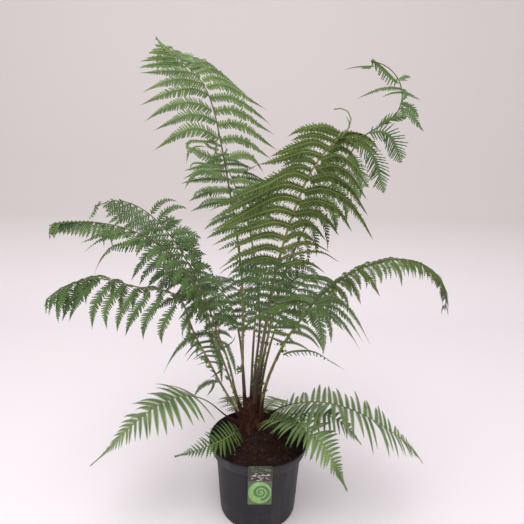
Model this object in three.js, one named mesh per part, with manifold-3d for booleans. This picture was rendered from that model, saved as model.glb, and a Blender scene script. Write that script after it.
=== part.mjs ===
// Tree fern in a round nursery pot: a short fibrous trunk that stands in soil, a crown of long
// arching fronds round it, a skirt of young fronds near the soil, and a plant label on the pot.
// Millimetres, +Z up. The origin is the centre of the pot's flat underside; +X is the right of
// the front, and -Y is the front, where the label hangs.
import * as THREE from "three";
import { mergeVertices } from "three/addons/utils/BufferGeometryUtils.js";
import Module from "manifold-3d";

// ---------------------------------------------------------------- sizes
const GAP = 0.3; // clearance between neighbouring solids

const POT_HEIGHT = 237;
const POT_BASE_RADIUS = 113;
const POT_BASE_EDGE = 12; // rounding where wall meets underside
const POT_LIP_INNER_RADIUS = 143;
const POT_RIM_RADIUS = 147; // outside of the rim band at its top
const POT_RIM_LOW_RADIUS = 139; // and at its lower edge
const POT_RIM_DEPTH = 33; // height of the rim band
const POT_RIM_STEP = 19; // how far the top of the rim stands out of the line of the wall
const POT_WALL = 2.2;
const POT_FLOOR = 3;
const POT_SIDES = 48;

const SOIL_TOP = 222;
const SOIL_MOUND = 22; // rise of the soil round the trunk
const SOIL_SIDES = 36;

const TRUNK_AT = [-22, 38]; // the trunk stands left of and behind the middle of the pot
const TRUNK_FOOT_RADIUS = 38;
const TRUNK_TOP_RADIUS = 19;
const TRUNK_TOP = 334;
const TRUNK_FLARE = 1.35; // how quickly the foot narrows
const TRUNK_LOBES = 7; // old stalk bases fanned round the trunk
const TRUNK_LOBE_DEPTH = 0.09;
const TRUNK_SIDES = 28;

const LABEL_WIDTH = 66;
const LABEL_HEIGHT = 136;
const LABEL_THICK = 0.9;
const LABEL_TOP = 246;

const RIB_FOOT = 5.2; // half thickness of a stalk at the crown
const RIB_TIP = 1.3; // half thickness of the rib at the frond's tip
const EDGE = 0.8; // half thickness of a blade at its edge

// ---------------------------------------------------------------- fronds
// foot: radius, bearing and height of the frond's foot about the trunk.
// lean: angle from upright at even steps along the frond.  bearing: compass of travel at even
// steps, 0 = +X, 90 = +Y.  roll: twist of the blade about its rib.  span: longest leaflet on one
// side, reached at `widest` of the length, counted from `from`; rise and fall shape the outline
// below and above it; lop is the other side's share of it.  sweep: how far leaflets point
// forward, for each side, at even steps.  arch: how far they rise where they leave the rib.
// hang: how far they have turned down at their tips, at even steps.  crook: where the tip starts
// to turn, and by how much.  cuts: where the frond is divided into solids.  Angles in degrees.
const FRONDS = [
  {
    name: "frond_tall_left", foot: [20, 150, 300], length: 1181, stout: 1, young: false,
    lean: [13.7, 2, 0.8, 10.5, 17, 17.4, 22, 53.7, 47.2],
    bearing: [126.5, 128.2, 126.9, 137.1, 159.8], roll: [-1, -5, -9],
    span: 217, widest: 0.773, from: 0.354, rise: 2.99, fall: 1.1, lop: 1,
    sweep: [[-8, 6, 20], [-18, -6, 18]], arch: 4, hang: [78, 30],
    steps: 18, cuts: [0.3, 0.72], parts: ["stalk", "blade", "tip"],
  },
  {
    name: "frond_mid_left", foot: [12, 60, 310], length: 830, stout: 1, young: false,
    lean: [2.4, -4.2, -6.4, 6, 15.5, 26.2, 38.8, 45.8, 51.8],
    bearing: [161.1, 136.5, 117.5, 120.7, 114.7], roll: [4.3, 2.1, -3.8],
    span: 160, widest: 0.85, from: 0.297, rise: 1.47, fall: 0.9, lop: 0.95,
    sweep: [[-3.2, 3.7, 8.7], [-6.4, -1.2, 5.7]], arch: 1.2, hang: [36.5, 38.1],
    steps: 18, cuts: [0.35], parts: ["stalk", "blade"],
  },
  {
    name: "frond_tall_front", foot: [20, -70, 300], length: 971, stout: 1.35, young: false,
    lean: [3.6, 10.3, 13.2, 12.9, 18.6, 23.2, 30.1, 51.3, 70.8],
    bearing: [-60.8, -59.8, -58.2, -52.8, -43.6], roll: [-12, -4, -10],
    span: 210, widest: 0.646, from: 0.119, rise: 2.22, fall: 0.77, lop: 0.96,
    sweep: [[-20, -5, 20], [30, 12, 4]], arch: 10, hang: [52, 58], crook: [0.9, -170],
    steps: 18, cuts: [0.33, 0.72], parts: ["stalk", "blade", "tip"],
  },
  {
    name: "frond_tall_right", foot: [18, 0, 310], length: 1141, stout: 1, young: false,
    lean: [0.5, 8.3, 10.4, 11.7, 19.8, 26.2, 35.6, 29, 61.3, -18.5, -88.3],
    bearing: [-53.3, -16.2, 14.1, 9.3, 2.1], roll: [5, 5, 5, 5, 5, 5, 5, 5, 5, 75, 85],
    span: 150, widest: 0.68, from: 0.2, rise: 1.3, fall: 0.75, lop: 0.95,
    sweep: [[-5, 5, 10], [-20, -10, 5]], arch: 4, hang: [90, 60],
    steps: 18, cuts: [0.3, 0.68], parts: ["stalk", "blade", "tip"],
  },
  {
    name: "frond_arch_right", foot: [30, 10, 290], length: 917, stout: 0.85, young: false,
    lean: [3.4, 15.9, 24.7, 33.7, 50.2, 69.7, 95.7, 138, 186],
    bearing: [-33.2, -10.9, 7.3, 5.3, 5.5], roll: [0, 3, 6],
    span: 88, widest: 0.5, from: 0.15, rise: 1.3, fall: 0.35, lop: 0.95,
    sweep: [[12, 12, 14], [14, 12, 10]], arch: 2, hang: [70, 95],
    steps: 18, cuts: [0.28, 0.66], parts: ["stalk", "blade", "tip"],
  },
  {
    name: "frond_front_right", foot: [30, -40, 285], length: 784, stout: 0.85, young: false,
    lean: [6, 18.9, 28.2, 33.5, 45.5, 53.2, 62.6, 94.8, 131.2],
    bearing: [-62.7, -63, -72, -85.8, -97.6], roll: [-20, -20, -10],
    span: 136, widest: 0.727, from: 0.2, rise: 1.2, fall: 1.3, lop: 1.1,
    sweep: [[-10, 10, 40], [-3, 35, 60]], arch: 0, hang: [45, 45],
    steps: 18, cuts: [0.34, 0.7], parts: ["stalk", "blade", "tip"],
  },
  {
    name: "frond_low_left", foot: [35, 200, 275], length: 799, stout: 0.78, young: false,
    lean: [22.4, 26.8, 24.2, 24.6, 17.7, 80.4, 71.2, 103.4, 134.8],
    bearing: [196.5, 206.1, 189.4, 187, 191], roll: [-4],
    span: 150, widest: 0.744, from: 0.194, rise: 1.66, fall: 0.73, lop: 1,
    sweep: [[30, 32, 36], [25, 28, 34]], arch: -4, hang: [90, 100],
    steps: 18, cuts: [0.28, 0.66], parts: ["stalk", "blade", "tip"],
  },
  {
    name: "frond_upper_left", foot: [30, 165, 290], length: 885, stout: 0.78, young: false,
    lean: [20.5, 11, 20, 18.3, 29.3, 39.8, 58.3, 89.3, 126.3],
    bearing: [179.1, 183.4, 158.6, 155.4, 152.9], roll: [-4, -11, -37],
    span: 122, widest: 0.58, from: 0.12, rise: 0.6, fall: 1.07, lop: 1,
    sweep: [[13, 30, 34], [-12, 7, 27]], arch: 2, hang: [80, 15],
    steps: 18, cuts: [0.3, 0.68], parts: ["stalk", "blade", "tip"],
  },
  {
    name: "frond_far_left", foot: [30, 185, 290], length: 865, stout: 0.72, young: false,
    lean: [18.7, 17.7, 19.1, 16.8, 24.8, 42.6, 64.9, 83.9, 102.9],
    bearing: [206.6, 209.8, 188, 188.4, 190.3], roll: [-5],
    span: 104, widest: 0.6, from: 0.15, rise: 1.3, fall: 1.5, lop: 1,
    sweep: [[15, 30, 38], [20, 30, 40]], arch: -5, hang: [90, 100],
    steps: 18, cuts: [0.28, 0.66], parts: ["stalk", "blade", "tip"],
  },
  {
    name: "frond_back_right", foot: [30, 50, 290], length: 630, stout: 1, young: false,
    lean: [10, 20, 45, 85, 118],
    bearing: [50, 52, 53, 54], roll: [0],
    span: 132, widest: 0.62, from: 0.3, rise: 1.2, fall: 0.8, lop: 1,
    sweep: [[2, 12, 26], [2, 12, 26]], arch: 6, hang: [45, 70],
    steps: 18, cuts: [0.35, 0.7], parts: ["stalk", "blade", "tip"],
  },
  {
    name: "frond_back_left", foot: [30, 130, 285], length: 680, stout: 1, young: false,
    lean: [14, 24, 48, 86, 116],
    bearing: [100, 112, 146, 152], roll: [0],
    span: 150, widest: 0.64, from: 0.32, rise: 1.2, fall: 0.8, lop: 1,
    sweep: [[2, 12, 26], [2, 12, 26]], arch: 6, hang: [45, 70],
    steps: 18, cuts: [0.35, 0.7], parts: ["stalk", "blade", "tip"],
  },
  {
    name: "frond_back_mid", foot: [28, 95, 300], length: 640, stout: 1, young: false,
    lean: [4, 8, 16, 34, 66, 100, 118],
    bearing: [80, 78, 76, 75], roll: [0],
    span: 122, widest: 0.66, from: 0.36, rise: 1.2, fall: 0.8, lop: 1,
    sweep: [[2, 12, 26], [2, 12, 26]], arch: 6, hang: [45, 70],
    steps: 18, cuts: [0.35, 0.7], parts: ["stalk", "blade", "tip"],
  },
  {
    name: "frond_young_left", foot: [35, 195, 262], length: 528, stout: 0.55, young: true,
    lean: [64.3, 40.3, 61.6, 105, 124.5, 131.3, 125.3],
    bearing: [189.5, 209.4, 201.2, 202.9, 202.4], roll: [15.4, -0.1, 4.3],
    span: 116, widest: 0.44, from: 0.05, rise: 0.9, fall: 1.88, lop: 1.26,
    sweep: [[-27.6, -0.6, 39.7], [16.1, 26, 43.2]], arch: 0.8, hang: [35.3, 26],
    steps: 12, cuts: [0.45], parts: ["blade", "tip"],
  },
  {
    name: "frond_young_front_left", foot: [35, 230, 255], length: 275, stout: 0.55, young: true,
    lean: [71.5, 74.1, 76.9, 81, 85.1, 84.6, 82.4],
    bearing: [235.9, 245.3, 228.3, 215.3, 215], roll: [-37.5, -38, -34.5],
    span: 57, widest: 0.328, from: 0.022, rise: 0.82, fall: 1.42, lop: 0.88,
    sweep: [[20, 40.9, 55.4], [4.1, 22.9, 44.1]], arch: 15.8, hang: [25.1, 23.6],
    steps: 12, cuts: [], parts: ["blade"],
  },
  {
    name: "frond_young_front_right", foot: [30, -30, 265], length: 393, stout: 0.55, young: true,
    lean: [47.8, 61.9, 74.9, 87.6, 116, 143.5, 142.2],
    bearing: [-46.1, -50.4, -49.7, -47, -44.9], roll: [-1.4, 3.9, 12.5],
    span: 82, widest: 0.412, from: 0.02, rise: 0.6, fall: 1.59, lop: 1.16,
    sweep: [[7.7, 10.3, 15.4], [-0.5, 26.2, 48.1]], arch: 13.6, hang: [28.7, 36.1],
    steps: 12, cuts: [0.5], parts: ["blade", "tip"],
  },
  {
    name: "frond_young_right", foot: [35, 0, 262], length: 340, stout: 0.55, young: true,
    lean: [54.4, 63.1, 71.9, 80.2, 107.6, 134.3, 137.9],
    bearing: [-19.2, -26.4, -19, -15.2, -19.4], roll: [5],
    span: 84, widest: 0.46, from: 0.02, rise: 0.5, fall: 1.4, lop: 1,
    sweep: [[-4, 14, 34], [-4, 14, 34]], arch: 6, hang: [28, 30],
    steps: 12, cuts: [], parts: ["blade"],
  },
  {
    name: "frond_young_far_right", foot: [35, 15, 265], length: 549, stout: 0.55, young: true,
    lean: [44, 62.4, 80.5, 103.4, 117.1, 127.2, 148.9],
    bearing: [-9.9, -18.9, -14.4, -12.1, -13.6], roll: [-10.1, -5.2, 0.1],
    span: 126, widest: 0.537, from: 0, rise: 0.47, fall: 1.52, lop: 1.18,
    sweep: [[-13.2, -10.4, 4], [-8.7, 5, 21.4]], arch: 10.8, hang: [23.5, 41.8],
    steps: 12, cuts: [0.45], parts: ["blade", "tip"],
  },
  {
    name: "frond_young_back_right", foot: [35, 45, 262], length: 235, stout: 0.55, young: true,
    lean: [76, 96, 104, 128, 150],
    bearing: [62, 64, 66, 68], roll: [0],
    span: 52, widest: 0.42, from: 0.02, rise: 0.5, fall: 1.4, lop: 1,
    sweep: [[-4, 12, 30], [-4, 12, 30]], arch: 6, hang: [28, 30],
    steps: 12, cuts: [0.5], parts: ["blade", "tip"],
  },
  {
    name: "frond_young_back_left", foot: [35, 130, 262], length: 235, stout: 0.55, young: true,
    lean: [76, 96, 104, 128, 150],
    bearing: [112, 108, 104, 102], roll: [0],
    span: 54, widest: 0.42, from: 0.02, rise: 0.5, fall: 1.4, lop: 1,
    sweep: [[-4, 12, 30], [-4, 12, 30]], arch: 6, hang: [28, 30],
    steps: 12, cuts: [0.5], parts: ["blade", "tip"],
  },
];

// ---------------------------------------------------------------- shapes
const wasm = await Module();
wasm.setup();

function through(values, s) {
  // smooth curve through evenly spaced stations
  const n = values.length - 1;
  const x = Math.min(Math.max(s * n, 0), n - 1e-9);
  const i = Math.floor(x);
  const f = x - i;
  const b = values[i];
  const c = values[i + 1];
  const a = i > 0 ? values[i - 1] : 2 * b - c;
  const d = i < n - 1 ? values[i + 2] : 2 * c - b;
  return (
    0.5 *
    (2 * b + (c - a) * f + (2 * a - 5 * b + 4 * c - d) * f * f + (3 * b - a - 3 * c + d) * f ** 3)
  );
}

function along(values, s) {
  // evenly spaced stations joined by straight stretches
  const n = values.length - 1;
  const x = Math.min(Math.max(s * n, 0), n);
  const i = Math.min(Math.floor(x), n - 1);
  return n ? values[i] + (values[i + 1] - values[i]) * (x - i) : values[0];
}

const RAD = Math.PI / 180;
const FINE = 240; // integration steps along a frond

function crookAt(frond, s) {
  if (!frond.crook) return 0;
  const [start, turn] = frond.crook;
  const t = Math.min(Math.max((s - start) / (1 - start), 0), 1);
  return turn * t * t * (3 - 2 * t);
}

function ribOf(frond) {
  const heading = (s) => {
    const lean = (through(frond.lean, s) + crookAt(frond, s)) * RAD;
    const bearing = through(frond.bearing, s) * RAD;
    return new THREE.Vector3(
      Math.sin(lean) * Math.cos(bearing),
      Math.sin(lean) * Math.sin(bearing),
      Math.cos(lean),
    );
  };
  const [radius, bearing, height] = frond.foot;
  const points = [
    new THREE.Vector3(
      TRUNK_AT[0] + radius * Math.cos(bearing * RAD),
      TRUNK_AT[1] + radius * Math.sin(bearing * RAD),
      height,
    ),
  ];
  for (let i = 1; i <= FINE; i++) {
    const step = heading((i - 0.5) / FINE).multiplyScalar(frond.length / FINE);
    points.push(points[i - 1].clone().add(step));
  }
  return {
    at(s) {
      const x = Math.min(Math.max(s, 0), 1) * FINE;
      const i = Math.min(Math.floor(x), FINE - 1);
      return points[i].clone().lerp(points[i + 1], x - i);
    },
    heading,
    side(s) {
      const b = through(frond.bearing, s) * RAD;
      return new THREE.Vector3(-Math.sin(b), Math.cos(b), 0);
    },
  };
}

function leafletLength(frond, s) {
  const { from, widest, span, rise, fall } = frond;
  if (s < widest) {
    const a = Math.min(Math.max((s - from) / (widest - from), 0), 1);
    return span * Math.sin((Math.PI / 2) * a) ** rise;
  }
  const b = Math.min(Math.max((s - widest) / (1 - widest), 0), 1);
  return span * Math.max(Math.cos((Math.PI / 2) * b), 0) ** fall;
}

function closedSolid(rings, ends) {
  // rings of equal count, joined by quads; `ends` lists the triangles over an end, and is a
  // plain fan where it is left out
  const per = rings[0].length;
  const caps = ends || Array.from({ length: per - 2 }, (_, k) => [0, k + 1, k + 2]);
  const flat = [];
  rings.forEach((ring) => ring.forEach((p) => flat.push(p.x, p.y, p.z)));
  const index = [];
  const id = (r, k) => r * per + (k % per);
  for (let r = 0; r < rings.length - 1; r++)
    for (let k = 0; k < per; k++)
      if (ends && k >= per / 2)
        // the underside of a blade is split along the same diagonals as its top, so that
        // the two stay parallel where the blade is twisted
        index.push(id(r, k), id(r, k + 1), id(r + 1, k), id(r, k + 1), id(r + 1, k + 1), id(r + 1, k));
      else
        index.push(id(r, k), id(r, k + 1), id(r + 1, k + 1), id(r, k), id(r + 1, k + 1), id(r + 1, k));
  const last = rings.length - 1;
  for (const [a, b, c] of caps) {
    index.push(id(0, a), id(0, c), id(0, b));
    index.push(id(last, a), id(last, b), id(last, c));
  }
  const geometry = new THREE.BufferGeometry();
  geometry.setAttribute("position", new THREE.Float32BufferAttribute(flat, 3));
  geometry.setIndex(index);
  return geometry;
}

// the end of a six-sided blade: one quad each side of the rib
const BLADE_END = [[0, 1, 4], [0, 4, 5], [1, 2, 3], [1, 3, 4]];

function solidFrom(geometry) {
  const bare = geometry.clone();
  bare.deleteAttribute("normal");
  bare.deleteAttribute("uv");
  const merged = mergeVertices(bare, 1e-4);
  const solid = new wasm.Manifold(
    new wasm.Mesh({
      numProp: 3,
      vertProperties: new Float32Array(merged.attributes.position.array),
      triVerts: new Uint32Array(merged.index.array),
    }),
  );
  return solid;
}

function geometryFrom(solid) {
  const mesh = solid.getMesh();
  const geometry = new THREE.BufferGeometry();
  const positions = [];
  for (let i = 0; i < mesh.vertProperties.length; i += mesh.numProp)
    positions.push(mesh.vertProperties[i], mesh.vertProperties[i + 1], mesh.vertProperties[i + 2]);
  geometry.setAttribute("position", new THREE.Float32BufferAttribute(positions, 3));
  geometry.setIndex(Array.from(mesh.triVerts));
  return geometry;
}

const BEND_STEPS = 16;

function leafletTip(frond, s, sign, { centre, ahead, side, face, thick, reach, open, grow }) {
  // where the leaflets of one side end: they leave the rib swept forward and arched up, then
  // turn down towards straight down
  const half = Math.max(reach * (sign > 0 ? 1 : frond.lop), thick) + grow;
  const sweep = along(frond.sweep[sign > 0 ? 0 : 1], s) * RAD * open;
  const out = side
    .clone()
    .multiplyScalar(sign * Math.cos(sweep))
    .addScaledVector(ahead, Math.sin(sweep));
  const over = face.clone().multiplyScalar(0.3).add(new THREE.Vector3(0, 0, 0.8));
  over.addScaledVector(out, -over.dot(out)).normalize();
  const arch = frond.arch * RAD * open;
  out.multiplyScalar(Math.cos(arch)).addScaledVector(over, Math.sin(arch));
  const fall = -out.z;
  const limit = Math.acos(Math.min(Math.max(fall, -1), 1));
  const down = new THREE.Vector3(0, 0, -1).addScaledVector(out, -fall).normalize();
  const hang = along(frond.hang, s) * RAD * open;
  const tip = centre.clone();
  for (let k = 0; k < BEND_STEPS; k++) {
    const turned = Math.min(hang * ((k + 0.5) / BEND_STEPS) ** 1.2, limit);
    tip
      .addScaledVector(out, (Math.cos(turned) * half) / BEND_STEPS)
      .addScaledVector(down, (Math.sin(turned) * half) / BEND_STEPS);
  }
  return tip;
}

function bladeRing(frond, rib, s, grow) {
  // six-sided section: thin at the leaflet tips, thick at the rib
  const centre = rib.at(s);
  const ahead = rib.heading(s);
  const flatSide = rib.side(s);
  const up = ahead.clone().cross(flatSide).normalize();
  const roll = along(frond.roll, s) * RAD;
  const side = flatSide.clone().multiplyScalar(Math.cos(roll)).addScaledVector(up, Math.sin(roll));
  const face = ahead.clone().cross(side).normalize();
  const thick = RIB_FOOT * frond.stout * (1 - s) + RIB_TIP * s + grow;
  const reach = leafletLength(frond, s);
  const open = Math.min(reach / (0.25 * frond.span), 1); // 0 on bare stalk, 1 on full blade
  const edge = (thick - grow) * 0.5 * (1 - open) + EDGE * open + grow;
  const left = leafletTip(frond, s, 1, { centre, ahead, side, face, thick, reach, open, grow });
  const right = leafletTip(frond, s, -1, { centre, ahead, side, face, thick, reach, open, grow });
  const lift = (p, d) => p.clone().addScaledVector(face, d);
  return [
    lift(left, edge),
    lift(centre, thick),
    lift(right, edge),
    lift(right, -edge),
    lift(centre, -thick),
    lift(left, -edge),
  ];
}

function bladeSolid(frond, rib, s0, s1, steps, grow) {
  const rings = [];
  for (let i = 0; i <= steps; i++) rings.push(bladeRing(frond, rib, s0 + ((s1 - s0) * i) / steps, grow));
  let solid = solidFrom(closedSolid(rings, BLADE_END));
  if (solid.volume() < 0) {
    // turned inside out: each ring runs the other way round
    const turned = rings.map(([a, b, c, d, e, f]) => [f, e, d, c, b, a]);
    solid = solidFrom(closedSolid(turned, BLADE_END));
  }
  return solid;
}

function largest(solid) {
  return solid.decompose().reduce((a, b) => (b.volume() > a.volume() ? b : a));
}

function tidy(solid) {
  // slivers shorter than the tolerance go, and one body is left
  let clean = largest(solid.simplify(0.05));
  for (let i = 0; i < 2; i++) {
    const merged = mergeVertices(geometryFrom(clean), 4e-3);
    const index = [];
    const source = merged.index.array;
    for (let k = 0; k < source.length; k += 3)
      if (source[k] !== source[k + 1] && source[k + 1] !== source[k + 2] && source[k] !== source[k + 2])
        index.push(source[k], source[k + 1], source[k + 2]);
    merged.setIndex(index);
    clean = largest(solidFrom(merged));
  }
  return clean;
}

const group = new THREE.Group();
group.name = "tree_fern_in_pot";

function place(name, solid, origin, material, parent = group) {
  const geometry = geometryFrom(solid);
  geometry.translate(-origin.x, -origin.y, -origin.z);
  geometry.computeVertexNormals();
  const mesh = new THREE.Mesh(geometry, material);
  mesh.name = name;
  mesh.position.copy(origin);
  parent.add(mesh);
  return mesh;
}

// ---------------------------------------------------------------- materials
const potPlastic = new THREE.MeshStandardMaterial({ color: 0x3f3d43, roughness: 0.45, metalness: 0 });
const soilMatter = new THREE.MeshStandardMaterial({ color: 0x2b1b17, roughness: 0.95, metalness: 0 });
const trunkFibre = new THREE.MeshStandardMaterial({ color: 0x4a281e, roughness: 0.9, metalness: 0 });
const labelCard = new THREE.MeshStandardMaterial({ color: 0x8fb26a, roughness: 0.35, metalness: 0 });
const stalkGreen = new THREE.MeshStandardMaterial({ color: 0x6d6a3a, roughness: 0.6, metalness: 0 });
const frondGreen = new THREE.MeshStandardMaterial({ color: 0x4a6b33, roughness: 0.6, metalness: 0 });

// ---------------------------------------------------------------- pot
const wallRadius = (z) =>
  POT_BASE_RADIUS + ((POT_RIM_RADIUS - POT_RIM_STEP - POT_BASE_RADIUS) * z) / POT_HEIGHT;

function potProfile() {
  const p = [];
  const r = POT_BASE_EDGE;
  p.push([0, 0], [wallRadius(0) - r, 0]);
  for (let i = 1; i <= 3; i++) {
    const a = (i / 3) * (Math.PI / 2);
    p.push([wallRadius(0) - r + r * Math.sin(a), r - r * Math.cos(a)]);
  }
  p.push([wallRadius(POT_HEIGHT - POT_RIM_DEPTH), POT_HEIGHT - POT_RIM_DEPTH]);
  p.push([POT_RIM_LOW_RADIUS, POT_HEIGHT - POT_RIM_DEPTH + 0.6]);
  p.push([POT_RIM_RADIUS, POT_HEIGHT - 2]);
  p.push([POT_RIM_RADIUS - 1.2, POT_HEIGHT]);
  p.push([POT_LIP_INNER_RADIUS + 0.8, POT_HEIGHT]);
  p.push([POT_LIP_INNER_RADIUS, POT_HEIGHT - 1.5]);
  p.push([POT_RIM_LOW_RADIUS - 2.5, POT_HEIGHT - POT_RIM_DEPTH + 3]);
  p.push([wallRadius(POT_HEIGHT - POT_RIM_DEPTH) - POT_WALL, POT_HEIGHT - POT_RIM_DEPTH - 1.5]);
  p.push([wallRadius(POT_FLOOR + r) - POT_WALL, POT_FLOOR + r]);
  p.push([wallRadius(0) - r - POT_WALL, POT_FLOOR]);
  p.push([0, POT_FLOOR]);
  return p.map(([x, y]) => new THREE.Vector2(x, y));
}

function lathe(profile, sides) {
  const geometry = new THREE.LatheGeometry(profile, sides);
  geometry.rotateX(Math.PI / 2); // its axis turns from Y to Z
  return geometry;
}

function latheSolid(profile, sides) {
  let solid = solidFrom(lathe(profile, sides));
  if (solid.volume() < 0) solid = solidFrom(lathe(profile.slice().reverse(), sides));
  return solid;
}

const pot = latheSolid(potProfile(), POT_SIDES);
place("pot", pot, new THREE.Vector3(0, 0, 0), potPlastic);

// ---------------------------------------------------------------- soil
const innerRadius = (z) => wallRadius(z) - POT_WALL - GAP - 1.2;
function soilProfile() {
  const low = POT_FLOOR + GAP;
  const r = POT_BASE_EDGE;
  return [
    [0, low],
    [innerRadius(0) - r - 2, low],
    [innerRadius(POT_FLOOR + r + 6), POT_FLOOR + r + 6],
    [innerRadius(POT_HEIGHT - POT_RIM_DEPTH), POT_HEIGHT - POT_RIM_DEPTH - 3],
    [innerRadius(POT_HEIGHT - POT_RIM_DEPTH), POT_HEIGHT - POT_RIM_DEPTH],
    [POT_RIM_LOW_RADIUS - 4.5, POT_HEIGHT - POT_RIM_DEPTH + 4.8],
    [POT_RIM_LOW_RADIUS - 2, SOIL_TOP - 3],
    [POT_RIM_LOW_RADIUS - 12, SOIL_TOP],
    [TRUNK_FOOT_RADIUS + 40, SOIL_TOP + SOIL_MOUND * 0.2],
    [TRUNK_FOOT_RADIUS + 4, SOIL_TOP + SOIL_MOUND * 0.9],
    [TRUNK_FOOT_RADIUS * 0.6, SOIL_TOP + SOIL_MOUND],
    [0, SOIL_TOP + SOIL_MOUND],
  ].map(([x, y]) => new THREE.Vector2(x, y));
}
// the mound stands round the trunk, so the soil's surface is drawn over towards it
const soil = latheSolid(soilProfile(), SOIL_SIDES).warp((p) => {
  if (p[2] < SOIL_TOP + 1) return;
  p[0] += TRUNK_AT[0];
  p[1] += TRUNK_AT[1];
});
place("soil", soil, new THREE.Vector3(0, 0, 0), soilMatter);

// ---------------------------------------------------------------- trunk
function trunkRings(grow) {
  const low = SOIL_TOP - 1 + SOIL_MOUND + GAP + 1 - grow;
  const steps = 8;
  const rings = [];
  for (let i = 0; i <= steps; i++) {
    const t = i / steps;
    const z = low + (TRUNK_TOP + grow - low) * t;
    const body = TRUNK_TOP_RADIUS + (TRUNK_FOOT_RADIUS - TRUNK_TOP_RADIUS) * (1 - t) ** TRUNK_FLARE;
    const round = t > 0.92 ? 0.55 : 1;
    const ring = [];
    for (let k = 0; k < TRUNK_SIDES; k++) {
      const a = (k / TRUNK_SIDES) * 2 * Math.PI;
      const lobe = 1 + TRUNK_LOBE_DEPTH * Math.cos(TRUNK_LOBES * a + 1.4 * t) * (1 - 0.5 * t);
      const r = body * round * lobe + grow;
      ring.push(new THREE.Vector3(TRUNK_AT[0] + r * Math.cos(a), TRUNK_AT[1] + r * Math.sin(a), z));
    }
    rings.push(ring);
  }
  return rings;
}
function trunkSolid(grow) {
  return solidFrom(closedSolid(trunkRings(grow)));
}
const trunk = trunkSolid(0);
place("trunk", trunk, new THREE.Vector3(...TRUNK_AT, SOIL_TOP + SOIL_MOUND), trunkFibre);

// ---------------------------------------------------------------- label
// A thin card that hangs down the outside of the rim at the front.
const labelTilt = Math.atan((POT_RIM_RADIUS - POT_BASE_RADIUS) / POT_HEIGHT) * 0.8;
const labelStandOff = 2 * GAP + (LABEL_TOP - POT_HEIGHT + 2) * Math.sin(labelTilt);
const labelHolder = new THREE.Group();
labelHolder.position.set(2, -(POT_RIM_RADIUS + labelStandOff), LABEL_TOP);
labelHolder.rotation.x = labelTilt;
const labelShape = new THREE.Shape();
const lw = LABEL_WIDTH / 2;
const lr = 3;
labelShape.moveTo(-lw + lr, 0);
labelShape.lineTo(lw - lr, 0);
labelShape.quadraticCurveTo(lw, 0, lw, -lr);
labelShape.lineTo(lw, -LABEL_HEIGHT + lr);
labelShape.quadraticCurveTo(lw, -LABEL_HEIGHT, lw - lr, -LABEL_HEIGHT);
labelShape.lineTo(-lw + lr, -LABEL_HEIGHT);
labelShape.quadraticCurveTo(-lw, -LABEL_HEIGHT, -lw, -LABEL_HEIGHT + lr);
labelShape.lineTo(-lw, -lr);
labelShape.quadraticCurveTo(-lw, 0, -lw + lr, 0);
const labelGeometry = new THREE.ExtrudeGeometry(labelShape, {
  depth: LABEL_THICK,
  bevelEnabled: false,
  curveSegments: 3,
});
labelGeometry.rotateX(Math.PI / 2);
const label = new THREE.Mesh(labelGeometry, labelCard);
label.name = "label";
labelHolder.add(label);
group.add(labelHolder);

// ---------------------------------------------------------------- crown
// Each later solid is cut back from the ones before it, with a little more room while any
// of it would still touch.
const settled = [
  { owner: "trunk", solid: trunk, roomy: () => trunkSolid(GAP + 0.1) },
  { owner: "soil", solid: soil, roomy: () => soil },
];

function meets(a, b) {
  const p = a.boundingBox();
  const q = b.boundingBox();
  return [0, 1, 2].every((k) => p.max[k] >= q.min[k] && q.max[k] >= p.min[k]);
}

function cutBack(solid, owner) {
  let left = solid;
  for (let room = 2 * GAP; room < 12 * GAP; room *= 1.7) {
    for (const other of settled)
      if (other.owner !== owner && meets(left, other.solid) && left.intersect(other.solid).volume() > 0) {
        left = largest(left.subtract(other.roomy(room)));
      }
    left = tidy(left);
    const touching = settled.some(
      (other) => other.owner !== owner && meets(left, other.solid) && left.intersect(other.solid).volume() > 1e-3,
    );
    if (!touching) break;
  }
  return left;
}

for (const frond of FRONDS) {
  const rib = ribOf(frond);
  const stops = [0, ...frond.cuts, 1];
  const made = [];
  for (let i = 0; i < stops.length - 1; i++) {
    const s0 = i ? stops[i] + GAP / frond.length : 0;
    const s1 = stops[i + 1];
    const steps = Math.max(3, Math.round((s1 - s0) * frond.steps));
    const part = frond.parts[i];
    const solid = cutBack(bladeSolid(frond, rib, s0, s1, steps, 0), frond.name);
    place(frond.name + "_" + part, solid, rib.at(s0), part === "stalk" ? stalkGreen : frondGreen);
    made.push({
      owner: frond.name,
      solid,
      roomy: (room) => bladeSolid(frond, rib, s0, s1, steps, room),
    });
  }
  settled.push(...made);
}

export default group;
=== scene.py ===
# Tree fern in a nursery pot: the visual model. Everything is worked out from the named sizes
# below by seeded rules; metres, +Z up, the pot's underside at z = 0, the front towards -Y.
import math

import bpy
import numpy as np
from mathutils import Matrix, Vector


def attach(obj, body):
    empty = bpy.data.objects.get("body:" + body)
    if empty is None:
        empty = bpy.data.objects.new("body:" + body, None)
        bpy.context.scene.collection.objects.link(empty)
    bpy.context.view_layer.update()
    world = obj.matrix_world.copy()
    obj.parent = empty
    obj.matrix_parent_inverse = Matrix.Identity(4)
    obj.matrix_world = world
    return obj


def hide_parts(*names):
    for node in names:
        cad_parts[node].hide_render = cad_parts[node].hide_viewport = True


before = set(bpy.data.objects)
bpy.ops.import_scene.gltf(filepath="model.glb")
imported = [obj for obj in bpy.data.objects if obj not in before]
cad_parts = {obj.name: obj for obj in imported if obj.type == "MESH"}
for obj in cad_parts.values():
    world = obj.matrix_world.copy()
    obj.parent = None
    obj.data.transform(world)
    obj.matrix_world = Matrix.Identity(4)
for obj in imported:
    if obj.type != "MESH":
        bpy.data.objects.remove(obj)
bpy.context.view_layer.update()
rng = np.random.default_rng(4107)
Z = np.array([0.0, 0.0, 1.0])

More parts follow.
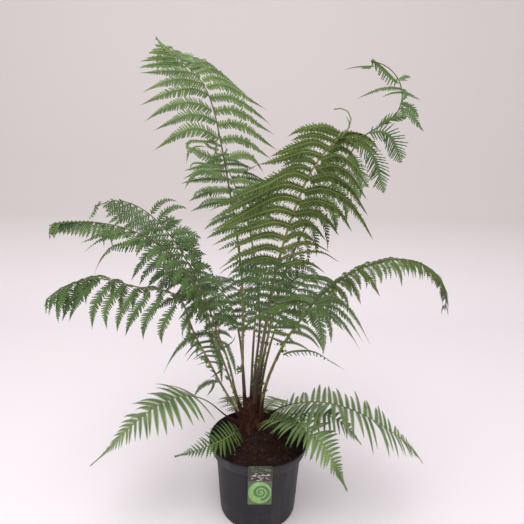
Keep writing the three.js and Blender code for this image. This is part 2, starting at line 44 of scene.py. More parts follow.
# ------------------------------------------------------------------ sizes (mm, as in the CAD)
FRONDS = [
    {"name": "frond_tall_left", "foot": [20, 150, 300], "length": 1181, "lean": [13.7, 2.0, 0.8, 10.5, 17.0, 17.4, 22.0, 53.7, 47.2], "bearing": [126.5, 128.2, 126.9, 137.1, 159.8], "span": 217, "widest": 0.773, "from": 0.354, "rise": 2.99, "fall": 1.1, "lop": 1.0, "sweep": [[-8, 6, 20], [-18, -6, 18]], "arch": 4, "hang": [78, 30], "roll": [-1, -5, -9], "stout": 1.0, "young": False, "parts": ["stalk", "blade", "tip"]},
    {"name": "frond_mid_left", "foot": [12, 60, 310], "length": 830, "lean": [2.4, -4.2, -6.4, 6.0, 15.5, 26.2, 38.8, 45.8, 51.8], "bearing": [161.1, 136.5, 117.5, 120.7, 114.7], "span": 160, "widest": 0.85, "from": 0.297, "rise": 1.47, "fall": 0.9, "lop": 0.95, "sweep": [[-3.2, 3.7, 8.7], [-6.4, -1.2, 5.7]], "arch": 1.2, "hang": [36.5, 38.1], "roll": [4.3, 2.1, -3.8], "stout": 1.0, "young": False, "parts": ["stalk", "blade"]},
    {"name": "frond_tall_front", "foot": [20, -70, 300], "length": 971, "lean": [3.6, 10.3, 13.2, 12.9, 18.6, 23.2, 30.1, 51.3, 70.8], "bearing": [-60.8, -59.8, -58.2, -52.8, -43.6], "span": 210, "widest": 0.646, "from": 0.119, "rise": 2.22, "fall": 0.77, "lop": 0.96, "sweep": [[-20, -5, 20], [30, 12, 4]], "arch": 10, "hang": [52, 58], "roll": [-12, -4, -10], "stout": 1.35, "young": False, "parts": ["stalk", "blade", "tip"], "crook": [0.9, -170]},
    {"name": "frond_tall_right", "foot": [18, 0, 310], "length": 1141, "lean": [0.5, 8.3, 10.4, 11.7, 19.8, 26.2, 35.6, 29.0, 61.3, -18.5, -88.3], "bearing": [-53.3, -16.2, 14.1, 9.3, 2.1], "span": 165, "widest": 0.68, "from": 0.2, "rise": 1.3, "fall": 0.75, "lop": 0.95, "sweep": [[-5, 5, 10], [-20, -10, 5]], "arch": 4, "hang": [90, 60], "roll": [5, 5, 5, 5, 5, 5, 5, 5, 5, 75, 85], "stout": 1.0, "young": False, "parts": ["stalk", "blade", "tip"]},
    {"name": "frond_arch_right", "foot": [30, 10, 290], "length": 917, "lean": [3.4, 15.9, 24.7, 33.7, 50.2, 69.7, 95.7, 138.0, 186.0], "bearing": [-33.2, -10.9, 7.3, 5.3, 5.5], "span": 78, "widest": 0.5, "from": 0.15, "rise": 1.3, "fall": 0.35, "lop": 0.95, "sweep": [[12, 12, 14], [14, 12, 10]], "arch": 2, "hang": [70, 95], "roll": [0, 3, 6], "stout": 0.85, "young": False, "parts": ["stalk", "blade", "tip"]},
    {"name": "frond_front_right", "foot": [30, -40, 285], "length": 784, "lean": [6.0, 18.9, 28.2, 33.5, 45.5, 53.2, 62.6, 94.8, 131.2], "bearing": [-62.7, -63.0, -72.0, -85.8, -97.6], "span": 136, "widest": 0.727, "from": 0.2, "rise": 1.2, "fall": 1.3, "lop": 1.1, "sweep": [[-10, 10, 40], [-3, 35, 60]], "arch": 0, "hang": [45, 45], "roll": [-20, -20, -10], "stout": 0.85, "young": False, "parts": ["stalk", "blade", "tip"]},
    {"name": "frond_low_left", "foot": [35, 200, 275], "length": 799, "lean": [22.4, 26.8, 24.2, 24.6, 17.7, 80.4, 71.2, 103.4, 134.8], "bearing": [196.5, 206.1, 189.4, 187.0, 191.0], "span": 174, "widest": 0.744, "from": 0.194, "rise": 1.66, "fall": 0.73, "lop": 1.0, "sweep": [[30, 32, 36], [25, 28, 34]], "arch": -4, "hang": [90, 100], "roll": [-4], "stout": 0.78, "young": False, "parts": ["stalk", "blade", "tip"]},
    {"name": "frond_upper_left", "foot": [30, 165, 290], "length": 885, "lean": [20.5, 11.0, 20.0, 18.3, 29.3, 39.8, 58.3, 89.3, 126.3], "bearing": [179.1, 183.4, 158.6, 155.4, 152.9], "span": 92, "widest": 0.58, "from": 0.12, "rise": 0.6, "fall": 1.07, "lop": 1, "sweep": [[13, 30, 34], [-12, 7, 27]], "arch": 2, "hang": [80, 15], "roll": [-4, -11, -37], "stout": 0.78, "young": False, "parts": ["stalk", "blade", "tip"]},
    {"name": "frond_far_left", "foot": [30, 185, 290], "length": 865, "lean": [18.7, 17.7, 19.1, 16.8, 24.8, 42.6, 64.9, 83.9, 102.9], "bearing": [206.6, 209.8, 188.0, 188.4, 190.3], "span": 84, "widest": 0.6, "from": 0.15, "rise": 1.3, "fall": 1.5, "lop": 1, "sweep": [[15, 30, 38], [20, 30, 40]], "arch": -5, "hang": [90, 100], "roll": [-5], "stout": 0.72, "young": False, "parts": ["stalk", "blade", "tip"]},
    {"name": "frond_back_right", "foot": [30, 50, 290], "length": 630, "lean": [10, 20, 45, 85, 118], "bearing": [50, 52, 53, 54], "span": 132, "widest": 0.62, "from": 0.3, "rise": 1.2, "fall": 0.8, "lop": 1, "sweep": [[2, 12, 26], [2, 12, 26]], "arch": 6, "hang": [45, 70], "roll": [0], "stout": 1.0, "young": False, "parts": ["stalk", "blade", "tip"]},
    {"name": "frond_back_left", "foot": [30, 130, 285], "length": 680, "lean": [14, 24, 48, 86, 116], "bearing": [100, 112, 146, 152], "span": 150, "widest": 0.64, "from": 0.32, "rise": 1.2, "fall": 0.8, "lop": 1, "sweep": [[2, 12, 26], [2, 12, 26]], "arch": 6, "hang": [45, 70], "roll": [0], "stout": 1.0, "young": False, "parts": ["stalk", "blade", "tip"]},
    {"name": "frond_back_mid", "foot": [28, 95, 300], "length": 640, "lean": [4, 8, 16, 34, 66, 100, 118], "bearing": [80, 78, 76, 75], "span": 122, "widest": 0.66, "from": 0.36, "rise": 1.2, "fall": 0.8, "lop": 1, "sweep": [[2, 12, 26], [2, 12, 26]], "arch": 6, "hang": [45, 70], "roll": [0], "stout": 1.0, "young": False, "parts": ["stalk", "blade", "tip"]},
    {"name": "frond_young_left", "foot": [35, 195, 262], "length": 528, "lean": [64.3, 40.3, 61.6, 105.0, 124.5, 131.3, 125.3], "bearing": [189.5, 209.4, 201.2, 202.9, 202.4], "span": 116, "widest": 0.44, "from": 0.05, "rise": 0.9, "fall": 1.88, "lop": 1.26, "sweep": [[-27.6, -0.6, 39.7], [16.1, 26.0, 43.2]], "arch": 0.8, "hang": [35.3, 26.0], "roll": [15.4, -0.1, 4.3], "stout": 0.55, "young": True, "parts": ["blade", "tip"]},
    {"name": "frond_young_front_left", "foot": [35, 230, 255], "length": 275, "lean": [71.5, 74.1, 76.9, 81.0, 85.1, 84.6, 82.4], "bearing": [235.9, 245.3, 228.3, 215.3, 215.0], "span": 57, "widest": 0.328, "from": 0.022, "rise": 0.82, "fall": 1.42, "lop": 0.88, "sweep": [[20.0, 40.9, 55.4], [4.1, 22.9, 44.1]], "arch": 15.8, "hang": [25.1, 23.6], "roll": [-37.5, -38.0, -34.5], "stout": 0.55, "young": True, "parts": ["blade"]},
    {"name": "frond_young_front_right", "foot": [30, -30, 265], "length": 393, "lean": [47.8, 61.9, 74.9, 87.6, 116.0, 143.5, 142.2], "bearing": [-46.1, -50.4, -49.7, -47.0, -44.9], "span": 82, "widest": 0.412, "from": 0.02, "rise": 0.6, "fall": 1.59, "lop": 1.16, "sweep": [[7.7, 10.3, 15.4], [-0.5, 26.2, 48.1]], "arch": 13.6, "hang": [28.7, 36.1], "roll": [-1.4, 3.9, 12.5], "stout": 0.55, "young": True, "parts": ["blade", "tip"]},
    {"name": "frond_young_right", "foot": [35, 0, 262], "length": 340, "lean": [54.4, 63.1, 71.9, 80.2, 107.6, 134.3, 137.9], "bearing": [-19.2, -26.4, -19.0, -15.2, -19.4], "span": 84, "widest": 0.46, "from": 0.02, "rise": 0.5, "fall": 1.4, "lop": 1, "sweep": [[-4, 14, 34], [-4, 14, 34]], "arch": 6, "hang": [28, 30], "roll": [5], "stout": 0.55, "young": True, "parts": ["blade"]},
    {"name": "frond_young_far_right", "foot": [35, 15, 265], "length": 549, "lean": [44.0, 62.4, 80.5, 103.4, 117.1, 127.2, 148.9], "bearing": [-9.9, -18.9, -14.4, -12.1, -13.6], "span": 126, "widest": 0.537, "from": 0.0, "rise": 0.47, "fall": 1.52, "lop": 1.18, "sweep": [[-13.2, -10.4, 4.0], [-8.7, 5.0, 21.4]], "arch": 10.8, "hang": [23.5, 41.8], "roll": [-10.1, -5.2, 0.1], "stout": 0.55, "young": True, "parts": ["blade", "tip"]},
    {"name": "frond_young_back_right", "foot": [35, 45, 262], "length": 235, "lean": [76, 96, 104, 128, 150], "bearing": [62, 64, 66, 68], "span": 52, "widest": 0.42, "from": 0.02, "rise": 0.5, "fall": 1.4, "lop": 1, "sweep": [[-4, 12, 30], [-4, 12, 30]], "arch": 6, "hang": [28, 30], "roll": [0], "stout": 0.55, "young": True, "parts": ["blade", "tip"]},
    {"name": "frond_young_back_left", "foot": [35, 130, 262], "length": 235, "lean": [76, 96, 104, 128, 150], "bearing": [112, 108, 104, 102], "span": 54, "widest": 0.42, "from": 0.02, "rise": 0.5, "fall": 1.4, "lop": 1, "sweep": [[-4, 12, 30], [-4, 12, 30]], "arch": 6, "hang": [28, 30], "roll": [0], "stout": 0.55, "young": True, "parts": ["blade", "tip"]},
]
# how each frond is dressed: material, gap between leaflets, half width of a leaflet,
# how much leaflets arch, spread of random angles
DRESS = {
    "frond_tall_left": {"leaf": "light", "gap": 40, "half": 20, "jitter": 3, "body": 0.38, "foot": 0.72, "crowd": 0.7, "close": 0.55, "furl": [0.95, 60], "spike": [0.955, 0.12], "fine": 7.2, "open": 0.5, "wing": 0.2, "shingle": 8, "rib": "olive", "low": 0.42, "skip": [[1, 0.43, 0.885], [-1, 0.43, 0.875]], "stubs": 12, "light_stalk": True, "dark_foot": 0.09, "shade_web": 0, "merge": 0.7},
    "frond_mid_left": {"leaf": "mid", "gap": 44, "half": 15.5, "jitter": 4.5, "body": 0.35, "fine": 7.4, "open": 0.4, "wing": 0.18, "shingle": 8, "rib": "olive", "low": 0.34, "stubs": 12, "shade": [0.62, "shadow"], "shade_web": 0.3, "shade_look": {"fine": 8, "open": 0.36, "wing": 0.13, "slim": 0.82, "shade_web": 0}},
    "frond_tall_front": {"leaf": "olive", "gap": 30, "half": 17.5, "jitter": 3, "pale": True, "brown_rib": True, "stalk_leaflets": 50, "foot": 0.85, "body": 0.4, "costa": 0.8, "proud": -1.6, "last": 0.9, "fine": 7.0, "open": 0.44, "wing": 0.26, "shingle": 8, "low": 0.34, "stubs": 14, "shade": [0.58, "shadow"], "dark_foot": 0.16, "skip": [[1, 0.515, 0.875], [-1, 0.525, 0.9]], "shade_web": 0.5, "shade_look": {"fine": 8, "open": 0.36, "wing": 0.13, "slim": 0.82, "shade_web": 0}},
    "frond_tall_right": {"leaf": "mid", "gap": 40, "half": 20, "jitter": 5, "stalk_leaflets": 35, "last": 0.7, "fine": 6.4, "open": 0.44, "wing": 0.24, "shingle": 8, "low": 0.4, "rib": "olive", "stubs": 12, "shade": [0.56, "painted_shade_dusk"], "light_stalk": True, "dark_foot": 0.13, "ladder": [[0.07, 0.2, 15, 10, 26]], "shade_look": {"fine": 8, "open": 0.36, "wing": 0.13, "slim": 0.82, "shade_web": 0}},
    "frond_arch_right": {"leaf": "olive", "gap": 13, "half": 8.5, "jitter": 5, "stalk_leaflets": 40, "fine": 6.4, "open": 0.44, "wing": 0.24, "shingle": 8, "low": 0.4, "rib": "olive", "stubs": 12, "light_stalk": True, "dark_foot": 0.06, "ladder": [[0.08, 0.3, 24, 10, 26]]},
    "frond_front_right": {"leaf": "fresh", "gap": 27, "half": 16, "jitter": 5, "stalk_leaflets": 60, "fine": 7.2, "open": 0.38, "wing": 0.18, "shingle": 8, "low": 0.99, "last": 0.98, "stubs": 22, "shade": [0.45, "painted_shade_dusk"], "light_stalk": True, "dark_foot": 0.08, "shade_look": {"fine": 8, "open": 0.36, "wing": 0.13, "slim": 0.9, "shade_web": 0}, "rib": "green", "slim_tip": 0.6},
    "frond_low_left": {"leaf": "mid", "gap": 36, "half": 19, "jitter": 4, "stalk_leaflets": 50, "body": 0.42, "foot": 0.5, "belly": 1.2, "taper": 1.2, "fine": 6.4, "open": 0.44, "wing": 0.24, "shingle": 8, "low": 0.3, "skip": [[1, 0.5, 0.9]], "rib": "olive", "stubs": 14, "light_stalk": True, "dark_foot": 0.05},
    "frond_upper_left": {"leaf": "deep", "gap": 24, "half": 15, "jitter": 5, "stalk_leaflets": 45, "fine": 7.4, "open": 0.4, "wing": 0.18, "shingle": 8, "low": 0.3, "skip": [[1, 0.72, 0.98], [-1, 0.72, 0.98]], "rib": "olive", "stubs": 16, "light_stalk": True, "dark_foot": 0.06, "ladder": [[0.06, 0.26, 26, 8, 18]]},
    "frond_far_left": {"leaf": "mid", "gap": 30, "half": 15, "jitter": 5, "stalk_leaflets": 45, "fine": 6.4, "open": 0.44, "wing": 0.24, "shingle": 8, "low": 0.36, "skip": [[1, 0.74, 0.97]], "rib": "olive", "stubs": 16, "light_stalk": True, "dark_foot": 0.06},
    "frond_back_right": {"leaf": "deep", "gap": 29, "half": 18, "jitter": 5, "stalk_leaflets": 40, "fine": 6.4, "open": 0.44, "wing": 0.24, "shingle": 8, "low": 0.36},
    "frond_back_left": {"leaf": "deep", "gap": 29, "half": 18, "jitter": 5, "stalk_leaflets": 40, "fine": 6.4, "open": 0.44, "wing": 0.24, "shingle": 8, "low": 0.36},
    "frond_back_mid": {"leaf": "deep", "gap": 29, "half": 18, "jitter": 5, "stalk_leaflets": 40, "fine": 6.4, "open": 0.44, "wing": 0.24, "shingle": 8, "low": 0.36},
    "frond_young_left": {"leaf": "young", "gap": 17, "half": 10.5, "jitter": 4, "low": 0.34, "tooth": 6.5, "cut": 0.46},
    "frond_young_front_left": {"leaf": "mid", "gap": 14.5, "half": 6.6, "jitter": 4, "low": 0.12, "tooth": 6.5, "cut": 0.46},
    "frond_young_front_right": {"leaf": "young", "gap": 13, "half": 8.2, "jitter": 4, "low": 0.12, "tooth": 6.5, "cut": 0.46},
    "frond_young_right": {"leaf": "young", "gap": 14, "half": 7.6, "jitter": 5, "low": 0.12, "tooth": 6.5, "cut": 0.46},
    "frond_young_far_right": {"leaf": "young", "gap": 18, "half": 9.6, "jitter": 4, "low": 0.12, "tooth": 6.5, "cut": 0.46},
    "frond_young_back_right": {"leaf": "young", "gap": 14, "half": 8.4, "jitter": 5, "low": 0.12, "tooth": 6.5, "cut": 0.46},
    "frond_young_back_left": {"leaf": "young", "gap": 14, "half": 8.4, "jitter": 5, "low": 0.12, "tooth": 6.5, "cut": 0.46},
}
RIB_FOOT, RIB_TIP = 5.2, 1.3
POT_H, POT_BASE_R, POT_RIM_R, POT_RIM_STEP, POT_RIM_DEEP = 237.0, 113.0, 147.0, 19.0, 33.0
POT_RIM_LOW_R = 139.0
POT_LIP_R = 143.0
SOIL_TOP = 222.0
SOIL_MOUND = 22.0


# ------------------------------------------------------------------ small helpers
def unit(v):
    return v / np.maximum(np.linalg.norm(v, axis=-1, keepdims=True), 1e-12)


def through(values, s):
    v = np.asarray(values, float)
    n = len(v) - 1
    x = np.clip(np.asarray(s, float) * n, 0, n - 1e-9)
    i = x.astype(int)
    f = x - i
    b, c = v[i], v[i + 1]
    a = np.where(i > 0, v[np.maximum(i - 1, 0)], 2 * b - c)
    d = np.where(i < n - 1, v[np.minimum(i + 2, n)], 2 * c - b)
    return 0.5 * (2 * b + (c - a) * f + (2 * a - 5 * b + 4 * c - d) * f**2 + (3 * b - a - 3 * c + d) * f**3)


class Bin:
    """Vertices and triangles that become one mesh."""

    def __init__(self):
        self.v, self.f, self.n = [], [], 0

    def add(self, v, f):
        v = np.asarray(v, float).reshape(-1, 3)
        f = np.asarray(f, int).reshape(-1, 3)
        self.v.append(v)
        self.f.append(f + self.n)
        self.n += len(v)

    def copies(self, v, f):
        """v is (copies, points, 3), f the triangles of one copy."""
        m, k = v.shape[:2]
        f = np.asarray(f, int)
        self.add(v.reshape(-1, 3), (f[None] + (np.arange(m) * k)[:, None, None]).reshape(-1, 3))

    def tris(self):
        return sum(len(f) for f in self.f)

    def shift(self, by):
        self.v = [v + np.asarray(by, float) for v in self.v]


MADE = []


def build(name, bin_, material, smooth=True, replaces=()):
    v = np.concatenate(bin_.v) / 1000.0
    f = np.concatenate(bin_.f)
    me = bpy.data.meshes.new(name)
    me.vertices.add(len(v))
    me.vertices.foreach_set("co", v.astype(np.float32).ravel())
    me.loops.add(len(f) * 3)
    me.loops.foreach_set("vertex_index", f.astype(np.int32).ravel())
    me.polygons.add(len(f))
    me.polygons.foreach_set("loop_start", np.arange(0, len(f) * 3, 3, dtype=np.int32))
    me.polygons.foreach_set("use_smooth", np.full(len(f), bool(smooth)))
    me.update(calc_edges=True)
    me.validate()
    me.materials.append(material)
    ob = bpy.data.objects.new(name, me)
    bpy.context.scene.collection.objects.link(ob)
    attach(ob, "root")
    if replaces:
        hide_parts(*replaces)
    MADE.append((name, len(f)))
    return ob


def grid_faces(rows, cols, closed=False):
    """Triangles of a rows x cols point grid; closed joins the last column to the first."""
    r, c = np.meshgrid(np.arange(rows - 1), np.arange(cols if closed else cols - 1), indexing="ij")
    a = r * cols + c
    b = r * cols + (c + 1) % cols
    d = (r + 1) * cols + c
    e = (r + 1) * cols + (c + 1) % cols
    return np.stack([np.stack([a, b, e], -1), np.stack([a, e, d], -1)], 2).reshape(-1, 3)


def tubes(bin_, centre, n1, n2, radius, sides, caps=True):
    """centre, n1, n2: (m, k, 3); radius (m, k)."""
    m, k = centre.shape[:2]
    ang = np.arange(sides) / sides * 2 * math.pi
    ring = (
        centre[:, :, None]
        + radius[:, :, None, None] * (np.cos(ang)[None, None, :, None] * n1[:, :, None] + np.sin(ang)[None, None, :, None] * n2[:, :, None])
    )
    f = grid_faces(k, sides, True)
    if caps:
        end = [[0, j + 1, j] for j in range(1, sides - 1)]
        o = (k - 1) * sides
        end += [[o, o + j, o + j + 1] for j in range(1, sides - 1)]
        f = np.concatenate([f, np.array(end)])
    bin_.copies(ring.reshape(m, k * sides, 3), f)


# ------------------------------------------------------------------ materials
def material(name, colours, rough=0.5, rough_var=0.08, scale=14.0, fine=420.0, bump=0.15, bump_scale=700.0, bump_dist=0.0006, spec=0.4, stretch=None, extra=None):
    """Two or three colours mixed by soft noise, finer noise in brightness, roughness and bump."""
    mat = bpy.data.materials.new(name)
    mat.use_nodes = True
    nt = mat.node_tree
    nt.nodes.clear()
    out = nt.nodes.new("ShaderNodeOutputMaterial")
    bs = nt.nodes.new("ShaderNodeBsdfPrincipled")
    nt.links.new(bs.outputs[0], out.inputs[0])
    tc = nt.nodes.new("ShaderNodeTexCoord")
    source = tc.outputs["Object"]
    if stretch:
        mp = nt.nodes.new("ShaderNodeMapping")
        mp.inputs["Scale"].default_value = stretch
        nt.links.new(source, mp.inputs["Vector"])
        source = mp.outputs["Vector"]
    n1 = nt.nodes.new("ShaderNodeTexNoise")
    n1.inputs["Scale"].default_value = scale
    n1.inputs["Detail"].default_value = 3.0
    nt.links.new(source, n1.inputs["Vector"])
    ramp = nt.nodes.new("ShaderNodeValToRGB")
    els = ramp.color_ramp.elements
    k = len(colours)
    els[0].position, els[0].color = 0.34, (*colours[0], 1)
    els[1].position, els[1].color = 0.66, (*colours[-1], 1)
    for i in range(1, k - 1):
        e = els.new(0.34 + 0.32 * i / (k - 1))
        e.color = (*colours[i], 1)
    nt.links.new(n1.outputs["Fac"], ramp.inputs["Fac"])
    n2 = nt.nodes.new("ShaderNodeTexNoise")
    n2.inputs["Scale"].default_value = fine
    n2.inputs["Detail"].default_value = 2.0
    nt.links.new(source, n2.inputs["Vector"])
    mr = nt.nodes.new("ShaderNodeMapRange")
    mr.inputs["From Min"].default_value = 0.3
    mr.inputs["From Max"].default_value = 0.7
    mr.inputs["To Min"].default_value = 0.82
    mr.inputs["To Max"].default_value = 1.16
    nt.links.new(n2.outputs["Fac"], mr.inputs["Value"])
    mul = nt.nodes.new("ShaderNodeVectorMath")
    mul.operation = "SCALE"
    nt.links.new(ramp.outputs["Color"], mul.inputs[0])
    nt.links.new(mr.outputs["Result"], mul.inputs["Scale"])
    colour_out = mul.outputs["Vector"]
    if extra:
        colour_out = extra(nt, tc, colour_out)
    nt.links.new(colour_out, bs.inputs["Base Color"])
    rr = nt.nodes.new("ShaderNodeMapRange")
    rr.inputs["To Min"].default_value = max(rough - rough_var, 0.02)
    rr.inputs["To Max"].default_value = min(rough + rough_var, 1.0)
    nt.links.new(n2.outputs["Fac"], rr.inputs["Value"])
    nt.links.new(rr.outputs["Result"], bs.inputs["Roughness"])
    bs.inputs["Specular IOR Level"].default_value = spec
    n3 = nt.nodes.new("ShaderNodeTexNoise")
    n3.inputs["Scale"].default_value = bump_scale
    n3.inputs["Detail"].default_value = 2.0
    nt.links.new(source, n3.inputs["Vector"])
    bp = nt.nodes.new("ShaderNodeBump")
    bp.inputs["Strength"].default_value = bump
    bp.inputs["Distance"].default_value = bump_dist
    nt.links.new(n3.outputs["Fac"], bp.inputs["Height"])
    nt.links.new(bp.outputs["Normal"], bs.inputs["Normal"])
    return mat


def srgb(h):
    h = h.lstrip("#")
    c = [int(h[i : i + 2], 16) / 255 for i in (0, 2, 4)]
    return tuple(x / 12.92 if x <= 0.04045 else ((x + 0.055) / 1.055) ** 2.4 for x in c)


LEAF = {
    "light": material("leaf_light", [srgb("#5c7540"), srgb("#708850")], 0.5, spec=0.35),
    "mid": material("leaf_mid", [srgb("#435f2d"), srgb("#5a773d")], 0.48, spec=0.38),
    "deep": material("leaf_deep", [srgb("#415a2e"), srgb("#55713e")], 0.47, spec=0.38),
    "olive": material("leaf_olive", [srgb("#4b5f29"), srgb("#657938")], 0.5, spec=0.3),
    "fresh": material("leaf_fresh", [srgb("#3c5127"), srgb("#536a33")], 0.48, spec=0.38),
    # dusk and shadow: darker greens for the leaflets low in the crown, painted shade
    "painted_shade_dusk": material("leaf_painted_shade_dusk", [srgb("#39401f"), srgb("#4f5a30")], 0.52, spec=0.3),
    "shadow": material("leaf_shadow", [srgb("#3d5a2c"), srgb("#4c6c36")], 0.5, spec=0.32),
    "young": material("leaf_young", [srgb("#536f3b"), srgb("#7c935b")], 0.46, spec=0.42),
}
M_COSTA = material("costa_green", [srgb("#587336"), srgb("#698446")], 0.5, fine=200, spec=0.35)
M_COSTA_PALE = material("costa_pale", [srgb("#868c4c"), srgb("#9c9f60")], 0.5, fine=200, spec=0.35)
M_RIB = material("rib_green", [srgb("#66713c"), srgb("#7d8448")], 0.45, fine=160, spec=0.4)
M_RIB_OLIVE = material("rib_olive", [srgb("#4c4d2e"), srgb("#62603a")], 0.45, fine=160, spec=0.4)
M_RIB_BROWN = material("rib_brown", [srgb("#747038"), srgb("#8f8850")], 0.45, fine=160, spec=0.4)
M_STALK = material("stalk_olive", [srgb("#4a4226"), srgb("#655c38")], 0.42, fine=160, spec=0.45, stretch=(3, 3, 0.5))
M_STALK_LIGHT = material("stalk_light", [srgb("#655c38"), srgb("#857b4e"), srgb("#5a4b2e")], 0.5, 0.08, scale=22, fine=300, bump=0.3, spec=0.4)
# dark sheets set under the pinnules so the gaps between them read dark: painted shade
M_WEB_PAINTED_SHADE = material("leaf_web_green_painted_shade", [srgb("#3a5129"), srgb("#486439")], 0.55, spec=0.25)
M_WEB_OLIVE_PAINTED_SHADE = material("leaf_web_olive_painted_shade", [srgb("#37431e"), srgb("#455328")], 0.55, spec=0.25)
M_STALK_DARK = material("stalk_dark", [srgb("#35231a"), srgb("#4d3724")], 0.5, fine=160, spec=0.4, stretch=(3, 3, 0.5))
M_TRUNK = material("trunk_fibre", [srgb("#241410"), srgb("#3c211a"), srgb("#50301f")], 0.85, scale=60, fine=500, bump=0.8, bump_scale=350, bump_dist=0.002, spec=0.2, stretch=(2.5, 2.5, 0.5))
M_HAIR = material("fibre_hairs", [srgb("#43251a"), srgb("#6a3f28")], 0.6, scale=50, spec=0.3)


# ------------------------------------------------------------------ fronds
def along(values, s):
    """Even stations joined by straight stretches."""
    v = np.asarray(values, float)
    return np.interp(s, np.linspace(0, 1, len(v)), v) if len(v) > 1 else np.full(np.shape(s), v[0])


TRUNK_AT = np.array([-22.0, 38.0, 0.0])  # the trunk stands a little left of and behind the middle of the pot


class Frond:
    def __init__(self, f):
        self.f = f
        n = 401
        s = np.linspace(0, 1, n)
        lean = through(f["lean"], s)
        if f.get("crook"):
            a, turn = f["crook"]
            t = np.clip((s - a) / (1 - a), 0, 1)
            lean = lean + turn * t * t * (3 - 2 * t)
        lean, bear = np.radians(lean), np.radians(through(f["bearing"], s))
        d = np.stack([np.sin(lean) * np.cos(bear), np.sin(lean) * np.sin(bear), np.cos(lean)], 1)
        p = np.zeros((n, 3))
        r, b, h = f["foot"]
        p[0] = TRUNK_AT + [r * math.cos(math.radians(b)), r * math.sin(math.radians(b)), h]
        p[1:] = p[0] + np.cumsum((d[1:] + d[:-1]) / 2 * f["length"] / (n - 1), 0)
        flat = np.stack([-np.sin(bear), np.cos(bear), 0 * bear], 1)
        up = unit(np.cross(d, flat))
        roll = np.radians(along(f["roll"], s))[:, None]
        side = np.cos(roll) * flat + np.sin(roll) * up
        self.s, self.p, self.d, self.side = s, p, d, side
        self.face = unit(np.cross(d, side))

    def at(self, s):
        g = lambda a: np.stack([np.interp(s, self.s, a[:, k]) for k in range(3)], -1)
        return g(self.p), unit(g(self.d)), unit(g(self.side)), unit(g(self.face))

    def reach(self, s):
        f = self.f
        a = np.clip((s - f["from"]) / (f["widest"] - f["from"]), 0, 1)
        b = np.clip((s - f["widest"]) / (1 - f["widest"]), 0, 1)
        low = np.sin(math.pi / 2 * a) ** f["rise"]
        high = np.maximum(np.cos(math.pi / 2 * b), 0) ** f["fall"]
        return f["span"] * np.where(s < f["widest"], low, high)

    def lines(self, s, sign, w, sweep_off, lift_off, hang_by, points):
        """Each leaflet leaves the rib in the blade's plane, a little raised, and turns down."""
        f = self.f
        P, T, S, N = self.at(s)
        sweep = np.where(sign > 0, along(f["sweep"][0], s), along(f["sweep"][1], s)) + sweep_off
        sweep = np.radians(sweep)[:, None]
        v = np.cos(sweep) * sign[:, None] * S + np.sin(sweep) * T
        up = 0.3 * N + 0.8 * Z
        up = unit(up - (up * v).sum(-1, keepdims=True) * v)
        a = np.radians(f["arch"] + lift_off)[:, None]
        v = np.cos(a) * v + np.sin(a) * up
        dot = np.clip(-v[:, 2], -1, 1)
        limit = np.arccos(dot)
        down = unit(-Z[None] - dot[:, None] * v)
        hang = np.radians(along(f["hang"], s) * hang_by)
        n = (points - 1) * 2
        u = (np.arange(n) + 0.5) / n
        th = np.minimum(hang[:, None] * u[None] ** 1.2, limit[:, None])
        d = np.cos(th)[:, :, None] * v[:, None] + np.sin(th)[:, :, None] * down[:, None]
        c = np.concatenate([np.zeros((len(s), 1, 3)), np.cumsum(d, 1) / n], 1) * w[:, None, None] + P[:, None]
        return c[:, ::2], T, N


def carried(c, first):
    """Tangents and a normal carried along each line without twist, starting from `first`."""
    tang = unit(np.gradient(c, axis=1))
    nrm = np.zeros_like(c)
    n = unit(first - (first * tang[:, 0]).sum(-1, keepdims=True) * tang[:, 0])
    for k in range(c.shape[1]):
        n = unit(n - (n * tang[:, k]).sum(-1, keepdims=True) * tang[:, k])
        nrm[:, k] = n
    return tang, nrm


def pinnule_shape(lobes):
    """A toothed leaflet along +x, unit length, unit half width; returns points and triangles."""
    pts, tri = [], []

    def wide(x):
        return (1 - x**2.6) ** 0.7 * (0.86 + 0.14 * min(x / 0.15, 1)) + 0.04

    def z_at(x, y):
        return -0.14 * x * x - 0.10 * abs(y)

    mid = []
    for j in range(lobes + 1):
        x = j / lobes
        mid.append(len(pts))
        pts.append((x, 0.0, z_at(x, 0) - 0.02))
    for side in (1, -1):
        notch = []
        for j in range(lobes):
            x = j / lobes
            notch.append(len(pts))
            w = wide(x) * (0.70 if j else 0.86)
            pts.append((x, side * w, z_at(x, w)))
        notch.append(mid[-1])
        for j in range(lobes):
            x = (j + 0.68) / lobes
            w = wide(x - 0.3 / lobes)
            tip = len(pts)
            pts.append((x + 0.04, side * w, z_at(x, w) - 0.01))
            quad = [(mid[j], mid[j + 1], notch[j + 1]), (mid[j], notch[j + 1], notch[j])]
            if j == lobes - 1:
                quad = [(mid[j], mid[j + 1], notch[j])]
            quad.append((notch[j], notch[j + 1], tip))
            for a, b, c in quad:
                tri.append((a, b, c) if side > 0 else (a, c, b))
    return np.array(pts), np.array(tri)


PINNULE = pinnule_shape(3)
TOOTH = pinnule_shape(1)


